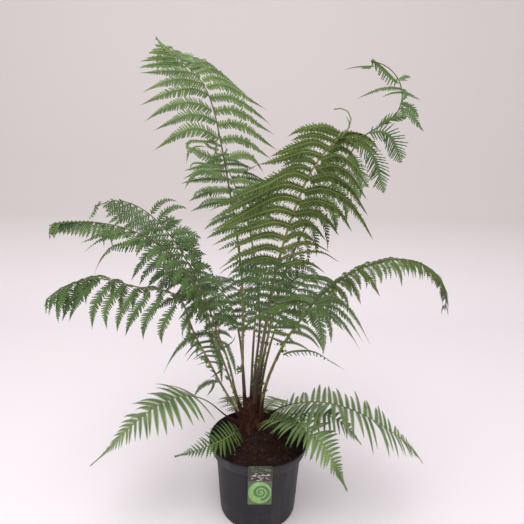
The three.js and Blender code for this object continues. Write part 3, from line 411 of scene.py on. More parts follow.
def leaflets(fr, dress):
    """Feet, lengths and directions of a frond's leaflets, both sides."""
    f = fr.f
    gap, jit = dress["gap"], dress["jitter"]
    L = f["length"]
    out = []
    for sign in (1, -1):
        s = dress.get("low", 0.1) + (0.012 if sign > 0 else 0.0)
        while s < dress.get("last", 0.993):
            w = float(fr.reach(np.array(s))) * (1.0 if sign > 0 else f["lop"])
            small = dress.get("stalk_leaflets", 0.0)
            if small and w < small:
                t = np.clip((s - 0.05) / max(f["from"] + 0.12 - 0.05, 0.02), 0, 1)
                w = max(w, small * (0.45 + 0.55 * t))
                if rng.random() < 0.12:
                    s += 20.0 / L
                    continue
            share = min(w / f["span"], 1.0)
            hop = next((b for which, a, b in dress.get("skip", ()) if which * sign > 0 and a <= s < b), None)
            if hop is not None:
                s = hop
                continue
            if dress.get("spike"):
                a, least = dress["spike"]
                w *= 1 - (1 - least) * min(max((s - a) / 0.02, 0.0), 1.0)
            w *= 1 + rng.normal() * 0.045
            w = max(w, 4.0)
            out.append((s, sign, w, share, rng.normal() * jit, rng.normal()))
            tip = min(max((s - dress.get("crowd", 0.72)) / 0.22, 0.0), 1.0)
            step = gap * (0.45 + 0.55 * share**0.6) * (1 - dress.get("close", 0.45) * tip)
            s += max(step, 3.2) * (1 + rng.normal() * 0.05) / L
    return out


def smooth_line(pts, n):
    """n points on a smooth line through the given ones, evenly spaced."""
    p = np.asarray(pts, float)
    p = np.vstack([2 * p[0] - p[1], p, 2 * p[-1] - p[-2]])
    out = []
    for i in range(1, len(p) - 2):
        q = np.linspace(0, 1, 40, endpoint=False)[:, None]
        a, b, c, d = p[i - 1], p[i], p[i + 1], p[i + 2]
        out.append(0.5 * (2 * b + (c - a) * q + (2 * a - 5 * b + 4 * c - d) * q**2 + (3 * b - a - 3 * c + d) * q**3))
    out = np.vstack(out + [p[-2][None]])
    run = np.concatenate([[0], np.cumsum(np.linalg.norm(np.diff(out, axis=0), axis=1))])
    at = np.linspace(0, run[-1], n)
    return np.stack([np.interp(at, run, out[:, k]) for k in range(3)], 1), run[-1]


def dress_frond(f, dress, leaf_bin, costa_bin, brown_bin, shade_bin, shade_costa):
    fr = Frond(f)
    K = 13
    u = np.linspace(0, 1, K)
    items = leaflets(fr, dress)
    for _ in range(dress.get("stubs", 0)):
        items.append((rng.uniform(0.09, dress.get("low", 0.3)), rng.choice([-1, 1]), rng.uniform(9, 30), 0.1, rng.normal() * 25, rng.normal() * 2))
    for s0, s1, step, w0, w1 in dress.get("ladder", ()):
        for q in np.arange(s0, s1, step / f["length"]):
            if rng.random() < 0.85:
                items.append((q + rng.normal() * 0.002, 1, w0 + (w1 - w0) * (q - s0) / (s1 - s0) * rng.uniform(0.7, 1.2), 0.1, rng.normal() * 14, rng.normal()))
            if rng.random() < 0.85:
                items.append((q + 0.006 + rng.normal() * 0.002, -1, w0 + (w1 - w0) * (q - s0) / (s1 - s0) * rng.uniform(0.7, 1.2), 0.1, rng.normal() * 14, rng.normal()))
    s, sign, w, share, off, luck = (np.array([i[k] for i in items], float) for k in range(6))
    m = len(items)
    if not m:
        s, sign, w, off, luck = (np.array([v]) for v in (0.5, 1.0, 5.0, 0.0, 0.0))
        m = 1
    lift = rng.normal(size=m) * dress["jitter"] * 0.7
    hang_by = 1 + 0.16 * luck
    furl = dress.get("furl", [0.95, 0.0])
    off = off + furl[1] * np.clip((s - furl[0]) / (1 - furl[0]), 0, 1)
    c, T, N = fr.lines(s, sign, w, off, lift, hang_by, K)
    tang, nrm = carried(c, N)
    twist = np.radians(rng.normal(size=m) * dress["jitter"] * 1.3 + dress.get("turn", 0.0) * sign)[:, None, None] * (0.4 + 0.6 * u)[None, :, None]
    across = np.cross(nrm, tang)
    nrm = unit(np.cos(twist) * nrm + np.sin(twist) * across)
    half = dress["half"] * (0.30 + 0.70 * np.clip(w / f["span"], 0, 1.05) ** 0.75)
    half = half * (1 + 0.06 * rng.normal(size=m))
    one = dress.get("toothed") or f["young"]
    # leaflets low on the frond go to a piece of their own in a darker green: painted shade
    low_ones = s < dress.get("shade", [0.0])[0]
    for pick, leaf_to, costa_to in ((low_ones, shade_bin, shade_costa), (~low_ones, leaf_bin, costa_bin)):
        if pick.any():
            low = dress.get("shade_look", {}) if leaf_to is shade_bin else {}
            comb(leaf_to, costa_to, brown_bin, c[pick], tang[pick], nrm[pick], w[pick], half[pick] * low.get("slim", 1.0), dict(dress, **low), one)
    for e in EXTRAS.get(f["name"], ()):
        line, run = smooth_line(e["line"], K)
        n0 = unit(np.array(e.get("face", [0.0, -0.75, 0.65])))
        tang, nrm = carried(line[None], n0[None])
        look = dict(dress, **{k: v for k, v in e.items() if k not in ("line", "face", "kind")})
        comb(leaf_bin, costa_bin, brown_bin, line[None], tang, nrm, np.array([run]), np.array([float(e["half"])]), look, e.get("kind") == "strip", e.get("kind") == "bare")
    return fr, m


def comb(leaf_bin, costa_bin, brown_bin, c, tang, nrm, w, half, dress, toothed=False, bare=False):
    """A costa with its rows of pinnules along each line."""
    m, K = c.shape[:2]
    u = np.linspace(0, 1, K)
    side = unit(np.cross(nrm, tang))
    rad = np.clip(0.95 * (w[:, None] / 180.0) ** 0.5, 0.35, 1.1) * (1 - 0.72 * u[None]) * dress.get("costa", 1.0)
    tubes(brown_bin if dress.get("brown") else costa_bin, c + nrm * dress.get("proud", 0.0), nrm, side, rad, 4 if bare else 3, caps=False)
    if bare:
        return
    if toothed:
        toothed_leaflets(leaf_bin, c, tang, nrm, side, w, half, dress)
        return
    gap = dress.get("fine", 5.4)
    open_ = dress.get("open", 0.56)
    body = dress.get("body", 0.30)  # where along a leaflet it is widest
    foot = dress.get("foot", 0.68)
    first, slim = dress.get("lean", 26), dress.get("lean_more", 22)
    merge_from = dress.get("merge", 0.78)
    shingle = dress.get("shingle", 16)
    base, along_, across, up, length, width = [], [], [], [], [], []

    def profile(q):
        rise = foot + (1 - foot) * np.sin(math.pi / 2 * np.minimum(q / body, 1))
        t = np.clip((q - body) / (1 - body), 0, 1)
        return rise * np.maximum(1 - t ** dress.get("belly", 1.5), 0) ** dress.get("taper", 1.15)

    for i in range(m):
        g = lambda a, q: np.stack([np.interp(q, u, a[i, :, k]) for k in range(3)], -1)
        # the wing: pinnules run together beside the costa and towards the tip
        k = max(int(w[i] / 3.2), 6)
        q = np.linspace(0.0, 1, 2 * k + 1)
        merge = np.clip((q - merge_from) / 0.18, 0, 1)
        merge = merge * merge * (3 - 2 * merge)
        notch = np.where(np.arange(len(q)) % 2 == 1, 1.0, 0.62)
        hw = half[i] * profile(q) * (dress.get("wing", 0.26) + 0.66 * merge) * notch + 0.5 * (1 - q)
        fw = np.where(np.arange(len(q)) % 2 == 1, 0.5, 0.0) * hw
        cc, tt, nn, ss = g(c, q), g(tang, q), unit(g(nrm, q)), unit(g(side, q))
        rows_ = [cc + sd * ss * hw[:, None] + tt * fw[:, None] - nn * (0.16 * hw)[:, None] for sd in (1, -1)]
        leaf_bin.add(np.stack([rows_[0], cc - nn * 0.3, rows_[1]], 1).reshape(-1, 3), grid_faces(len(q), 3))
        if dress.get("shade_web"):
            # painted shade: a dark sheet under the pinnules, seen through the gaps between them
            q = q[::2]
            hw = half[i] * profile(q) * dress["shade_web"]
            cc, nn, ss = g(c, q), unit(g(nrm, q)), unit(g(side, q))
            back = 1.0 if dress.get("proud", 0.0) >= 0 else -1.0
            edge = [cc + sd * ss * hw[:, None] - nn * (back * (1.2 + 0.32 * hw))[:, None] for sd in (1, -1)]
            SHADE_WEBS["olive" if dress.get("leaf") == "olive" else "green"].add(np.stack([edge[0], cc - nn * back * 1.3, edge[1]], 1).reshape(-1, 3), grid_faces(len(q), 3))
        n = max(int(w[i] / gap), 2)
        uu = (np.arange(n) + dress.get("first", 0.6)) / n
        uu = uu[uu < 0.95]
        ll = half[i] * profile(uu)
        sides = dress.get("sides", [1.0, 1.0])
        cc, tt, nn, ss = g(c, uu), g(tang, uu), unit(g(nrm, uu)), unit(g(side, uu))
        for sd in (1, -1):
            part = sides[0] if sd > 0 else sides[1]
            lean = np.radians(first + slim * uu + rng.normal(size=len(uu)) * 3.5)[:, None]
            a = np.cos(lean) * sd * ss + np.sin(lean) * tt
            tip_drop = np.radians(rng.normal(size=len(uu)) * 6 - dress.get("fold", 8))[:, None]
            a2 = np.cos(tip_drop) * a + np.sin(tip_drop) * nn
            n2 = unit(nn - (nn * a2).sum(-1, keepdims=True) * a2)
            x2 = np.cross(n2, a2)
            tilt = np.radians(sd * shingle + rng.normal(size=len(uu)) * 6)[:, None]
            n3 = np.cos(tilt) * n2 + np.sin(tilt) * x2
            base.append(cc)
            along_.append(a2)
            up.append(n3)
            across.append(np.cross(n3, a2))
            lv = ll * part * (1 + 0.05 * rng.normal(size=len(uu)))
            length.append(lv / np.maximum(np.cos(lean[:, 0]), 0.5) * 0.97)
            width.append(np.minimum(gap * open_, 0.36 * lv + 0.8))
    base, along_, across, up = map(np.concatenate, (base, along_, across, up))
    length, width = np.concatenate(length)[:, None, None], np.concatenate(width)[:, None, None]
    small = length[:, 0, 0] < dress["half"] * 0.38
    for shape, pick in ((PINNULE, ~small), (TOOTH, small)):
        pts, tri = shape
        if not pick.any():
            continue
        v = (
            base[pick, None]
            + along_[pick, None] * pts[None, :, :1] * length[pick]
            + across[pick, None] * pts[None, :, 1:2] * width[pick]
            + up[pick, None] * pts[None, :, 2:3] * length[pick]
        )
        leaf_bin.copies(v, tri)


def toothed_leaflets(leaf_bin, c, tang, nrm, side, w, half, dress):
    """Once-divided leaflets: a strip with deep forward teeth."""
    m = len(w)
    K = c.shape[1]
    u = np.linspace(0, 1, K)
    for i in range(m):
        teeth = int(np.clip(w[i] / dress.get("tooth", 5.0), 5, 26))
        uu = np.linspace(0, 1, teeth * 2 + 1)
        g = lambda a: np.stack([np.interp(uu, u, a[i, :, k]) for k in range(3)], -1)
        cc, tt, nn, ss = g(c), g(tang), unit(g(nrm)), unit(g(side))
        prof = np.minimum(1, 0.7 + 5 * uu) * np.maximum(1 - uu**1.8, 0) ** 0.85 * half[i]
        cut = np.where(np.arange(len(uu)) % 2 == 1, 1.0, dress.get("cut", 0.55))
        fwd = np.where(np.arange(len(uu)) % 2 == 1, 0.35, 0.0)
        edge = lambda sd: (
            cc + sd * ss * (prof * cut)[:, None] + tt * (prof * fwd)[:, None] - nn * (prof * cut * 0.22)[:, None]
        )
        a, b = edge(1), edge(-1)
        leaf_bin.add(np.stack([a, cc, b], 1).reshape(-1, 3), grid_faces(len(uu), 3))


# single leaflets that leave the frond's even run: a smooth line of points each, in mm
EXTRAS = {
    "frond_tall_left": [
        {"line": [[-278.9, 262.0, 1327.1], [-302.0, 262.0, 1326.6], [-328.0, 262.0, 1323.3]], "half": 8, "fine": 5},
        {"line": [[-255.2, 255.0, 1310.5], [-300.8, 252.5, 1311.8], [-343.5, 250.0, 1307.8]], "half": 12, "fine": 5.5},
        {"line": [[-231.1, 245.0, 1296.3], [-290.8, 241.5, 1294.5], [-353.3, 238.0, 1284.6]], "half": 14, "fine": 6},
        {"line": [[-255.0, 255.0, 1318.6], [-220.0, 251.7, 1318.9], [-185.3, 248.3, 1305.8], [-164.8, 245.0, 1308.6]], "half": 12, "fine": 6},
        {"line": [[-117.6, 120.0, 1068.9], [-142.0, 115.7, 1079.2], [-174.4, 111.4, 1081.3], [-201.2, 107.1, 1080.9], [-211.8, 102.9, 1067.5], [-200.5, 98.6, 1059.9], [-178.3, 94.3, 1068.4], [-156.3, 90.0, 1066.3]], "half": 6.5, "brown": True, "costa": 2.3, "fine": 4.6, "open": 0.45, "wing": 0.3, "merge": 0.95, "foot": 0.9, "taper": 0.6, "face": [0.1, -0.8, 0.6]},
        {"line": [[-123.2, 120.0, 1058.0], [-147.7, 116.9, 1065.7], [-158.3, 113.8, 1076.3], [-141.6, 110.6, 1084.7], [-127.8, 107.5, 1069.0], [-135.9, 104.4, 1053.0], [-113.8, 101.3, 1045.5], [-100.0, 98.1, 1059.2], [-105.3, 95.0, 1069.8]], "half": 6.5, "brown": True, "costa": 2.3, "fine": 4.6, "open": 0.45, "wing": 0.3, "merge": 0.95, "foot": 0.9, "taper": 0.6, "face": [0.1, -0.8, 0.6]},
        {"line": [[-181.5, 204.0, 1255.2], [-212.9, 186.5, 1265.8], [-260.0, 169.0, 1265.4], [-297.9, 151.5, 1260.0], [-337.4, 134.0, 1254.7]], "half": 16.5, "fine": 7.3, "open": 0.5, "wing": 0.17, "shade_web": 0, "merge": 0.66, "lean": 22, "lean_more": 16, "shingle": 12, "fold": 6, "first": 0.2, "body": 0.36, "foot": 0.72, "belly": 1.2, "taper": 1.3, "face": [0.1, -0.9, 0.42]},
        {"line": [[-167.0, 197.0, 1233.6], [-195.3, 174.5, 1241.5], [-236.2, 152.0, 1243.6], [-281.6, 129.5, 1227.7], [-325.9, 107.0, 1203.4]], "half": 18.7, "fine": 7.3, "open": 0.5, "wing": 0.17, "shade_web": 0, "merge": 0.66, "lean": 22, "lean_more": 16, "shingle": 12, "fold": 6, "first": 0.2, "body": 0.36, "foot": 0.72, "belly": 1.2, "taper": 1.3, "face": [0.1, -0.9, 0.42]},
        {"line": [[-157.9, 186.0, 1206.2], [-191.5, 162.2, 1219.6], [-232.3, 138.5, 1214.2], [-280.0, 114.7, 1196.1], [-331.8, 91.0, 1168.3]], "half": 19.8, "fine": 7.3, "open": 0.5, "wing": 0.17, "shade_web": 0, "merge": 0.66, "lean": 22, "lean_more": 16, "shingle": 12, "fold": 6, "first": 0.2, "body": 0.36, "foot": 0.72, "belly": 1.2, "taper": 1.3, "face": [0.1, -0.9, 0.42]},
        {"line": [[-145.8, 172.0, 1162.8], [-179.6, 148.2, 1179.6], [-223.1, 124.5, 1180.0], [-273.4, 100.8, 1159.9], [-317.5, 77.0, 1127.7]], "half": 19.8, "fine": 7.3, "open": 0.5, "wing": 0.17, "shade_web": 0, "merge": 0.66, "lean": 22, "lean_more": 16, "shingle": 12, "fold": 6, "first": 0.2, "body": 0.36, "foot": 0.72, "belly": 1.2, "taper": 1.3, "face": [0.1, -0.9, 0.42]},
        {"line": [[-134.1, 163.0, 1133.1], [-165.4, 139.3, 1147.9], [-206.4, 115.5, 1149.0], [-249.0, 91.8, 1129.4], [-293.0, 68.0, 1105.3]], "half": 18.7, "fine": 7.3, "open": 0.5, "wing": 0.17, "shade_web": 0, "merge": 0.66, "lean": 22, "lean_more": 16, "shingle": 12, "fold": 6, "first": 0.2, "body": 0.36, "foot": 0.72, "belly": 1.2, "taper": 1.3, "face": [0.1, -0.9, 0.42]},
        {"line": [[-125.1, 152.0, 1087.1], [-159.3, 128.2, 1108.1], [-197.6, 104.5, 1112.5], [-240.3, 80.8, 1090.9], [-292.8, 57.0, 1054.4]], "half": 22.0, "fine": 7.3, "open": 0.5, "wing": 0.17, "shade_web": 0, "merge": 0.66, "lean": 22, "lean_more": 16, "shingle": 12, "fold": 6, "first": 0.2, "body": 0.36, "foot": 0.72, "belly": 1.2, "taper": 1.3, "face": [0.1, -0.9, 0.42]},
        {"line": [[-116.0, 139.0, 1030.0], [-148.3, 121.5, 1038.5], [-176.8, 104.0, 1052.2], [-199.1, 86.5, 1057.7], [-208.4, 69.0, 1021.6]], "half": 17.6, "fine": 7.3, "open": 0.5, "wing": 0.17, "shade_web": 0, "merge": 0.66, "lean": 22, "lean_more": 16, "shingle": 12, "fold": 6, "first": 0.2, "body": 0.36, "foot": 0.72, "belly": 1.2, "taper": 1.3, "face": [0.1, -0.9, 0.42]},
        {"line": [[-110.1, 134.0, 1008.2], [-142.7, 119.0, 1014.2], [-174.5, 104.0, 1022.7], [-194.7, 89.0, 1020.6], [-198.7, 74.0, 1000.2]], "half": 6.6, "fine": 7.3, "open": 0.5, "wing": 0.17, "shade_web": 0, "merge": 0.66, "lean": 22, "lean_more": 16, "shingle": 12, "fold": 6, "first": 0.2, "body": 0.36, "foot": 0.72, "belly": 1.2, "taper": 1.3, "face": [0.1, -0.9, 0.42], "kind": "strip", "brown": False},
        {"line": [[-104.2, 128.0, 981.0], [-139.4, 110.5, 995.7], [-170.8, 93.0, 1004.6], [-193.7, 75.5, 986.8], [-213.7, 58.0, 953.3]], "half": 16.5, "fine": 7.3, "open": 0.5, "wing": 0.17, "shade_web": 0, "merge": 0.66, "lean": 22, "lean_more": 16, "shingle": 12, "fold": 6, "first": 0.2, "body": 0.36, "foot": 0.72, "belly": 1.2, "taper": 1.3, "face": [0.1, -0.9, 0.42]},
        {"line": [[-95.2, 119.0, 945.6], [-130.8, 104.0, 952.3], [-165.6, 89.0, 950.6], [-186.1, 74.0, 941.1], [-190.2, 59.0, 921.2]], "half": 11.0, "fine": 7.3, "open": 0.5, "wing": 0.17, "shade_web": 0, "merge": 0.66, "lean": 22, "lean_more": 16, "shingle": 12, "fold": 6, "first": 0.2, "body": 0.36, "foot": 0.72, "belly": 1.2, "taper": 1.3, "face": [0.1, -0.9, 0.42]},
        {"line": [[-89.3, 115.0, 920.7], [-124.8, 95.0, 925.6], [-156.4, 75.0, 922.3], [-181.9, 55.0, 902.8]], "half": 12.1, "fine": 7.3, "open": 0.5, "wing": 0.17, "shade_web": 0, "merge": 0.66, "lean": 22, "lean_more": 16, "shingle": 12, "fold": 6, "first": 0.2, "body": 0.36, "foot": 0.72, "belly": 1.2, "taper": 1.3, "face": [0.1, -0.9, 0.42]},
        {"line": [[-208.0, 218.0, 1285.4], [-175.8, 238.0, 1299.3], [-148.7, 258.0, 1291.7], [-114.7, 278.0, 1264.3]], "half": 13.2, "fine": 7.3, "open": 0.5, "wing": 0.17, "shade_web": 0, "merge": 0.66, "lean": 22, "lean_more": 16, "shingle": 12, "fold": 6, "first": 0.2, "body": 0.36, "foot": 0.72, "belly": 1.2, "taper": 1.3, "face": [0.1, -0.9, 0.42]},
        {"line": [[-190.2, 208.0, 1266.1], [-152.6, 233.0, 1280.5], [-116.6, 258.0, 1267.7], [-76.0, 283.0, 1234.7]], "half": 15.4, "fine": 7.3, "open": 0.5, "wing": 0.17, "shade_web": 0, "merge": 0.66, "lean": 22, "lean_more": 16, "shingle": 12, "fold": 6, "first": 0.2, "body": 0.36, "foot": 0.72, "belly": 1.2, "taper": 1.3, "face": [0.1, -0.9, 0.42]},
        {"line": [[-173.0, 202.0, 1247.3], [-141.0, 230.3, 1258.8], [-96.1, 258.7, 1246.1], [-42.7, 287.0, 1210.0]], "half": 15.4, "fine": 7.3, "open": 0.5, "wing": 0.17, "shade_web": 0, "merge": 0.66, "lean": 22, "lean_more": 16, "shingle": 12, "fold": 6, "first": 0.2, "body": 0.36, "foot": 0.72, "belly": 1.2, "taper": 1.3, "face": [0.1, -0.9, 0.42]},
        {"line": [[-161.2, 195.0, 1228.2], [-126.0, 218.8, 1239.1], [-80.8, 242.5, 1225.7], [-36.6, 266.2, 1200.3], [12.6, 290.0, 1173.8]], "half": 17.6, "fine": 7.3, "open": 0.5, "wing": 0.17, "shade_web": 0, "merge": 0.66, "lean": 22, "lean_more": 16, "shingle": 12, "fold": 6, "first": 0.2, "body": 0.36, "foot": 0.72, "belly": 1.2, "taper": 1.3, "face": [0.1, -0.9, 0.42]},
        {"line": [[-152.1, 184.0, 1198.2], [-108.3, 207.7, 1206.1], [-62.8, 231.5, 1192.1], [-18.1, 255.2, 1163.1], [25.5, 279.0, 1129.8]], "half": 18.7, "fine": 7.3, "open": 0.5, "wing": 0.17, "shade_web": 0, "merge": 0.66, "lean": 22, "lean_more": 16, "shingle": 12, "fold": 6, "first": 0.2, "body": 0.36, "foot": 0.72, "belly": 1.2, "taper": 1.3, "face": [0.1, -0.9, 0.42]},
        {"line": [[-140.2, 172.0, 1162.9], [-96.2, 195.8, 1170.3], [-50.5, 219.5, 1155.5], [-5.7, 243.2, 1125.8], [37.9, 267.0, 1100.6]], "half": 18.7, "fine": 7.3, "open": 0.5, "wing": 0.17, "shade_web": 0, "merge": 0.66, "lean": 22, "lean_more": 16, "shingle": 12, "fold": 6, "first": 0.2, "body": 0.36, "foot": 0.72, "belly": 1.2, "taper": 1.3, "face": [0.1, -0.9, 0.42]},
        {"line": [[-128.4, 161.0, 1125.1], [-84.2, 184.7, 1131.8], [-38.3, 208.5, 1116.3], [6.8, 232.3, 1082.8], [47.8, 256.0, 1053.6]], "half": 19.8, "fine": 7.3, "open": 0.5, "wing": 0.17, "shade_web": 0, "merge": 0.66, "lean": 22, "lean_more": 16, "shingle": 12, "fold": 6, "first": 0.2, "body": 0.36, "foot": 0.72, "belly": 1.2, "taper": 1.3, "face": [0.1, -0.9, 0.42]},
        {"line": [[-119.4, 151.0, 1084.5], [-77.9, 173.5, 1090.5], [-37.8, 196.0, 1076.9], [-1.8, 218.5, 1051.1], [29.5, 241.0, 1027.2]], "half": 17.6, "fine": 7.3, "open": 0.5, "wing": 0.17, "shade_web": 0, "merge": 0.66, "lean": 22, "lean_more": 16, "shingle": 12, "fold": 6, "first": 0.2, "body": 0.36, "foot": 0.72, "belly": 1.2, "taper": 1.3, "face": [0.1, -0.9, 0.42]},
        {"line": [[-110.4, 139.0, 1030.1], [-77.2, 156.5, 1043.7], [-43.1, 174.0, 1043.6], [-16.5, 191.5, 1023.2], [5.3, 209.0, 987.4]], "half": 16.5, "fine": 7.3, "open": 0.5, "wing": 0.17, "shade_web": 0, "merge": 0.66, "lean": 22, "lean_more": 16, "shingle": 12, "fold": 6, "first": 0.2, "body": 0.36, "foot": 0.72, "belly": 1.2, "taper": 1.3, "face": [0.1, -0.9, 0.42]},
        {"line": [[-104.4, 132.0, 1000.1], [-71.0, 152.0, 1002.1], [-39.7, 172.0, 1004.0], [-10.5, 192.0, 1017.6]], "half": 8.8, "fine": 7.3, "open": 0.5, "wing": 0.17, "shade_web": 0, "merge": 0.66, "lean": 22, "lean_more": 16, "shingle": 12, "fold": 6, "first": 0.2, "body": 0.36, "foot": 0.72, "belly": 1.2, "taper": 1.3, "face": [0.1, -0.9, 0.42]},
        {"line": [[-92.8, 126.0, 970.1], [-59.2, 141.0, 974.9], [-24.6, 156.0, 962.7], [1.9, 171.0, 961.6], [28.5, 186.0, 975.2]], "half": 12.1, "fine": 7.3, "open": 0.5, "wing": 0.17, "shade_web": 0, "merge": 0.66, "lean": 22, "lean_more": 16, "shingle": 12, "fold": 6, "first": 0.2, "body": 0.36, "foot": 0.72, "belly": 1.2, "taper": 1.3, "face": [0.1, -0.9, 0.42]},
        {"line": [[-83.9, 119.0, 942.9], [-53.1, 139.0, 944.0], [-24.2, 159.0, 936.3], [6.0, 179.0, 913.7]], "half": 13.2, "fine": 7.3, "open": 0.5, "wing": 0.17, "shade_web": 0, "merge": 0.66, "lean": 22, "lean_more": 16, "shingle": 12, "fold": 6, "first": 0.2, "body": 0.36, "foot": 0.72, "belly": 1.2, "taper": 1.3, "face": [0.1, -0.9, 0.42]},
        {"line": [[-264.9, 244.0, 1314.2], [-284.4, 253.3, 1333.7], [-299.9, 262.7, 1349.5], [-312.4, 272.0, 1368.7]], "half": 9.5, "kind": "strip", "tooth": 5, "cut": 0.5},
        {"line": [[-229.7, 236.0, 1307.2], [-197.2, 225.5, 1302.5], [-162.3, 215.0, 1305.9]], "half": 5.5, "kind": "strip", "tooth": 5, "cut": 0.5},
    ],
    "frond_tall_right": [
        {"line": [[277.8, 66.0, 1277.8], [247.0, 66.0, 1275.9], [224.0, 66.0, 1273.0], [201.2, 66.0, 1266.4]], "half": 4, "kind": "strip", "tooth": 4},
        {"line": [[269.8, 64.0, 1275.0], [257.0, 64.0, 1273.5], [244.3, 64.0, 1270.8]], "half": 7, "kind": "strip", "tooth": 4},
        {"line": [[269.4, 67.0, 1289.7], [282.9, 68.0, 1285.3], [305.2, 69.0, 1269.1], [325.1, 70.0, 1252.7], [347.8, 71.0, 1236.2]], "half": 21, "fine": 7.5, "open": 0.34, "lean": 20, "lean_more": -5, "body": 0.5, "foot": 0.45, "belly": 3, "taper": 0.8, "wing": 0.28, "face": [0, -0.95, 0.3], "merge": 0.98, "sides": [0.2, 1.0], "costa": 2.0},
        {"line": [[338.9, 71.0, 1248.2], [352.7, 64.5, 1246.7], [366.6, 58.0, 1243.9]], "half": 7, "kind": "strip", "tooth": 4},
        {"line": [[356.9, 71.0, 1224.1], [332.1, 68.2, 1227.0], [297.8, 65.5, 1222.4], [264.2, 62.8, 1209.2], [238.4, 60.0, 1196.1]], "half": 8, "fine": 6, "body": 0.25, "wing": 0.5, "open": 0.44},
        {"line": [[357.6, 71.0, 1216.7], [329.6, 64.0, 1213.1], [302.5, 57.0, 1202.2]], "half": 5, "kind": "strip", "tooth": 5},
        {"line": [[357.6, 71.0, 1216.7], [378.4, 68.7, 1212.0], [391.5, 66.3, 1204.7], [407.3, 64.0, 1197.5]], "half": 7, "tooth": 9, "cut": 0.2, "fine": 5, "open": 0.45},
        {"line": [[359.5, 71.0, 1224.2], [366.5, 63.5, 1208.9], [355.2, 56.0, 1193.4]], "half": 10, "kind": "strip", "tooth": 6, "cut": 0.4},
        {"line": [[354.8, 70.0, 1186.7], [367.2, 68.0, 1189.4], [386.0, 66.0, 1179.7], [397.2, 64.0, 1167.3], [406.0, 62.0, 1152.3]], "half": 14, "fine": 6, "open": 0.44, "body": 0.4},
        {"line": [[355.7, 70.0, 1176.7], [372.5, 62.7, 1171.7], [393.5, 55.3, 1149.3], [418.2, 48.0, 1116.9]], "half": 14, "fine": 6, "open": 0.4, "body": 0.35},
        {"line": [[360.6, 70.0, 1181.8], [361.9, 60.0, 1163.9], [357.7, 50.0, 1148.5]], "half": 14, "fine": 6, "open": 0.4, "body": 0.35},
        {"line": [[302.7, 66.0, 1132.5], [326.1, 59.3, 1148.1], [347.5, 52.7, 1153.3], [371.7, 46.0, 1153.6]], "half": 15, "fine": 6.4, "open": 0.3, "lean": 50, "lean_more": 5, "body": 0.4, "face": [0, -0.95, 0.2]},
        {"line": [[276.3, 60.0, 1111.6], [310.6, 50.0, 1114.8], [333.1, 40.0, 1097.6], [345.9, 30.0, 1070.1], [356.7, 20.0, 1035.1]], "half": 33, "fine": 6.8, "open": 0.31, "body": 0.42, "foot": 0.55, "belly": 1.6, "taper": 1.1, "wing": 0.12, "merge": 0.9, "lean": 24, "lean_more": 25, "face": [0, -0.95, 0.25]},
        {"line": [[248.1, 56.0, 1085.4], [279.0, 44.5, 1063.2], [297.4, 33.0, 1030.6], [305.0, 21.5, 997.9], [316.0, 10.0, 957.5]], "half": 33, "fine": 6.8, "open": 0.31, "body": 0.42, "foot": 0.6, "belly": 1.6, "taper": 1.1, "wing": 0.14, "merge": 0.9, "lean": 24, "lean_more": 25, "face": [0, -0.95, 0.25]},
        {"line": [[227.9, 52.0, 1056.8], [245.6, 37.3, 1026.8], [257.8, 22.7, 996.9], [274.7, 8.0, 972.7]], "half": 27, "fine": 6.0, "open": 0.3, "body": 0.35, "foot": 0.6, "wing": 0.16, "face": [0, -0.95, 0.25]},
        {"line": [[271.6, 67.0, 1294.5], [285.5, 68.0, 1285.4], [304.8, 69.0, 1273.9]], "half": 6, "kind": "strip", "tooth": 5, "cut": 0.3},
        {"line": [[346.7, 71.0, 1248.4], [362.6, 65.5, 1255.5], [374.4, 60.0, 1250.4]], "half": 8, "fine": 5, "open": 0.45, "wing": 0.4},
    ],
    "frond_tall_front": [
        {"line": [[166.0, -228.0, 1121.8], [166.0, -225.0, 1131.8], [159.6, -222.0, 1143.6]], "half": 2.2, "kind": "strip", "tooth": 4, "cut": 0.2},
        {"line": [[147.4, -222.0, 1105.5], [100.3, -242.0, 1118.4], [61.9, -262.0, 1113.6], [35.0, -282.0, 1099.8]], "half": 11.4, "first": 0.1, "fine": 7.8, "open": 0.37, "wing": 0.18, "shade_web": 0.55, "body": 0.42, "foot": 0.8, "belly": 1.3, "taper": 1.2, "face": [-0.15, -0.9, 0.42], "proud": 1.0, "costa": 0.85},
        {"line": [[143.6, -212.0, 1093.1], [102.3, -232.0, 1104.6], [67.4, -252.0, 1101.1], [41.9, -272.0, 1092.2]], "half": 10.4, "first": 0.1, "fine": 7.8, "open": 0.37, "wing": 0.18, "shade_web": 0.55, "body": 0.42, "foot": 0.8, "belly": 1.3, "taper": 1.2, "face": [-0.15, -0.9, 0.42], "proud": 1.0, "costa": 0.85},
        {"line": [[133.7, -200.0, 1076.1], [98.5, -218.8, 1090.3], [61.5, -237.5, 1082.0], [27.7, -256.3, 1070.0], [1.0, -275.0, 1060.5]], "half": 14.2, "first": 0.1, "fine": 7.8, "open": 0.37, "wing": 0.18, "shade_web": 0.55, "body": 0.42, "foot": 0.8, "belly": 1.3, "taper": 1.2, "face": [-0.15, -0.9, 0.42], "proud": 1.0, "costa": 0.85},
        {"line": [[121.7, -185.0, 1060.6], [81.9, -206.3, 1070.2], [46.5, -227.5, 1061.1], [12.4, -248.8, 1051.5], [-22.6, -270.0, 1044.1]], "half": 14.2, "first": 0.1, "fine": 7.8, "open": 0.37, "wing": 0.18, "shade_web": 0.55, "body": 0.42, "foot": 0.8, "belly": 1.3, "taper": 1.2, "face": [-0.15, -0.9, 0.42], "proud": 1.0, "costa": 0.85},
        {"line": [[108.4, -176.0, 1044.8], [85.9, -196.0, 1054.1], [60.4, -216.0, 1052.6], [27.9, -236.0, 1038.8]], "half": 11.4, "first": 0.1, "fine": 7.8, "open": 0.37, "wing": 0.18, "shade_web": 0.55, "body": 0.42, "foot": 0.8, "belly": 1.3, "taper": 1.2, "face": [-0.15, -0.9, 0.42], "proud": 1.0, "costa": 0.85},
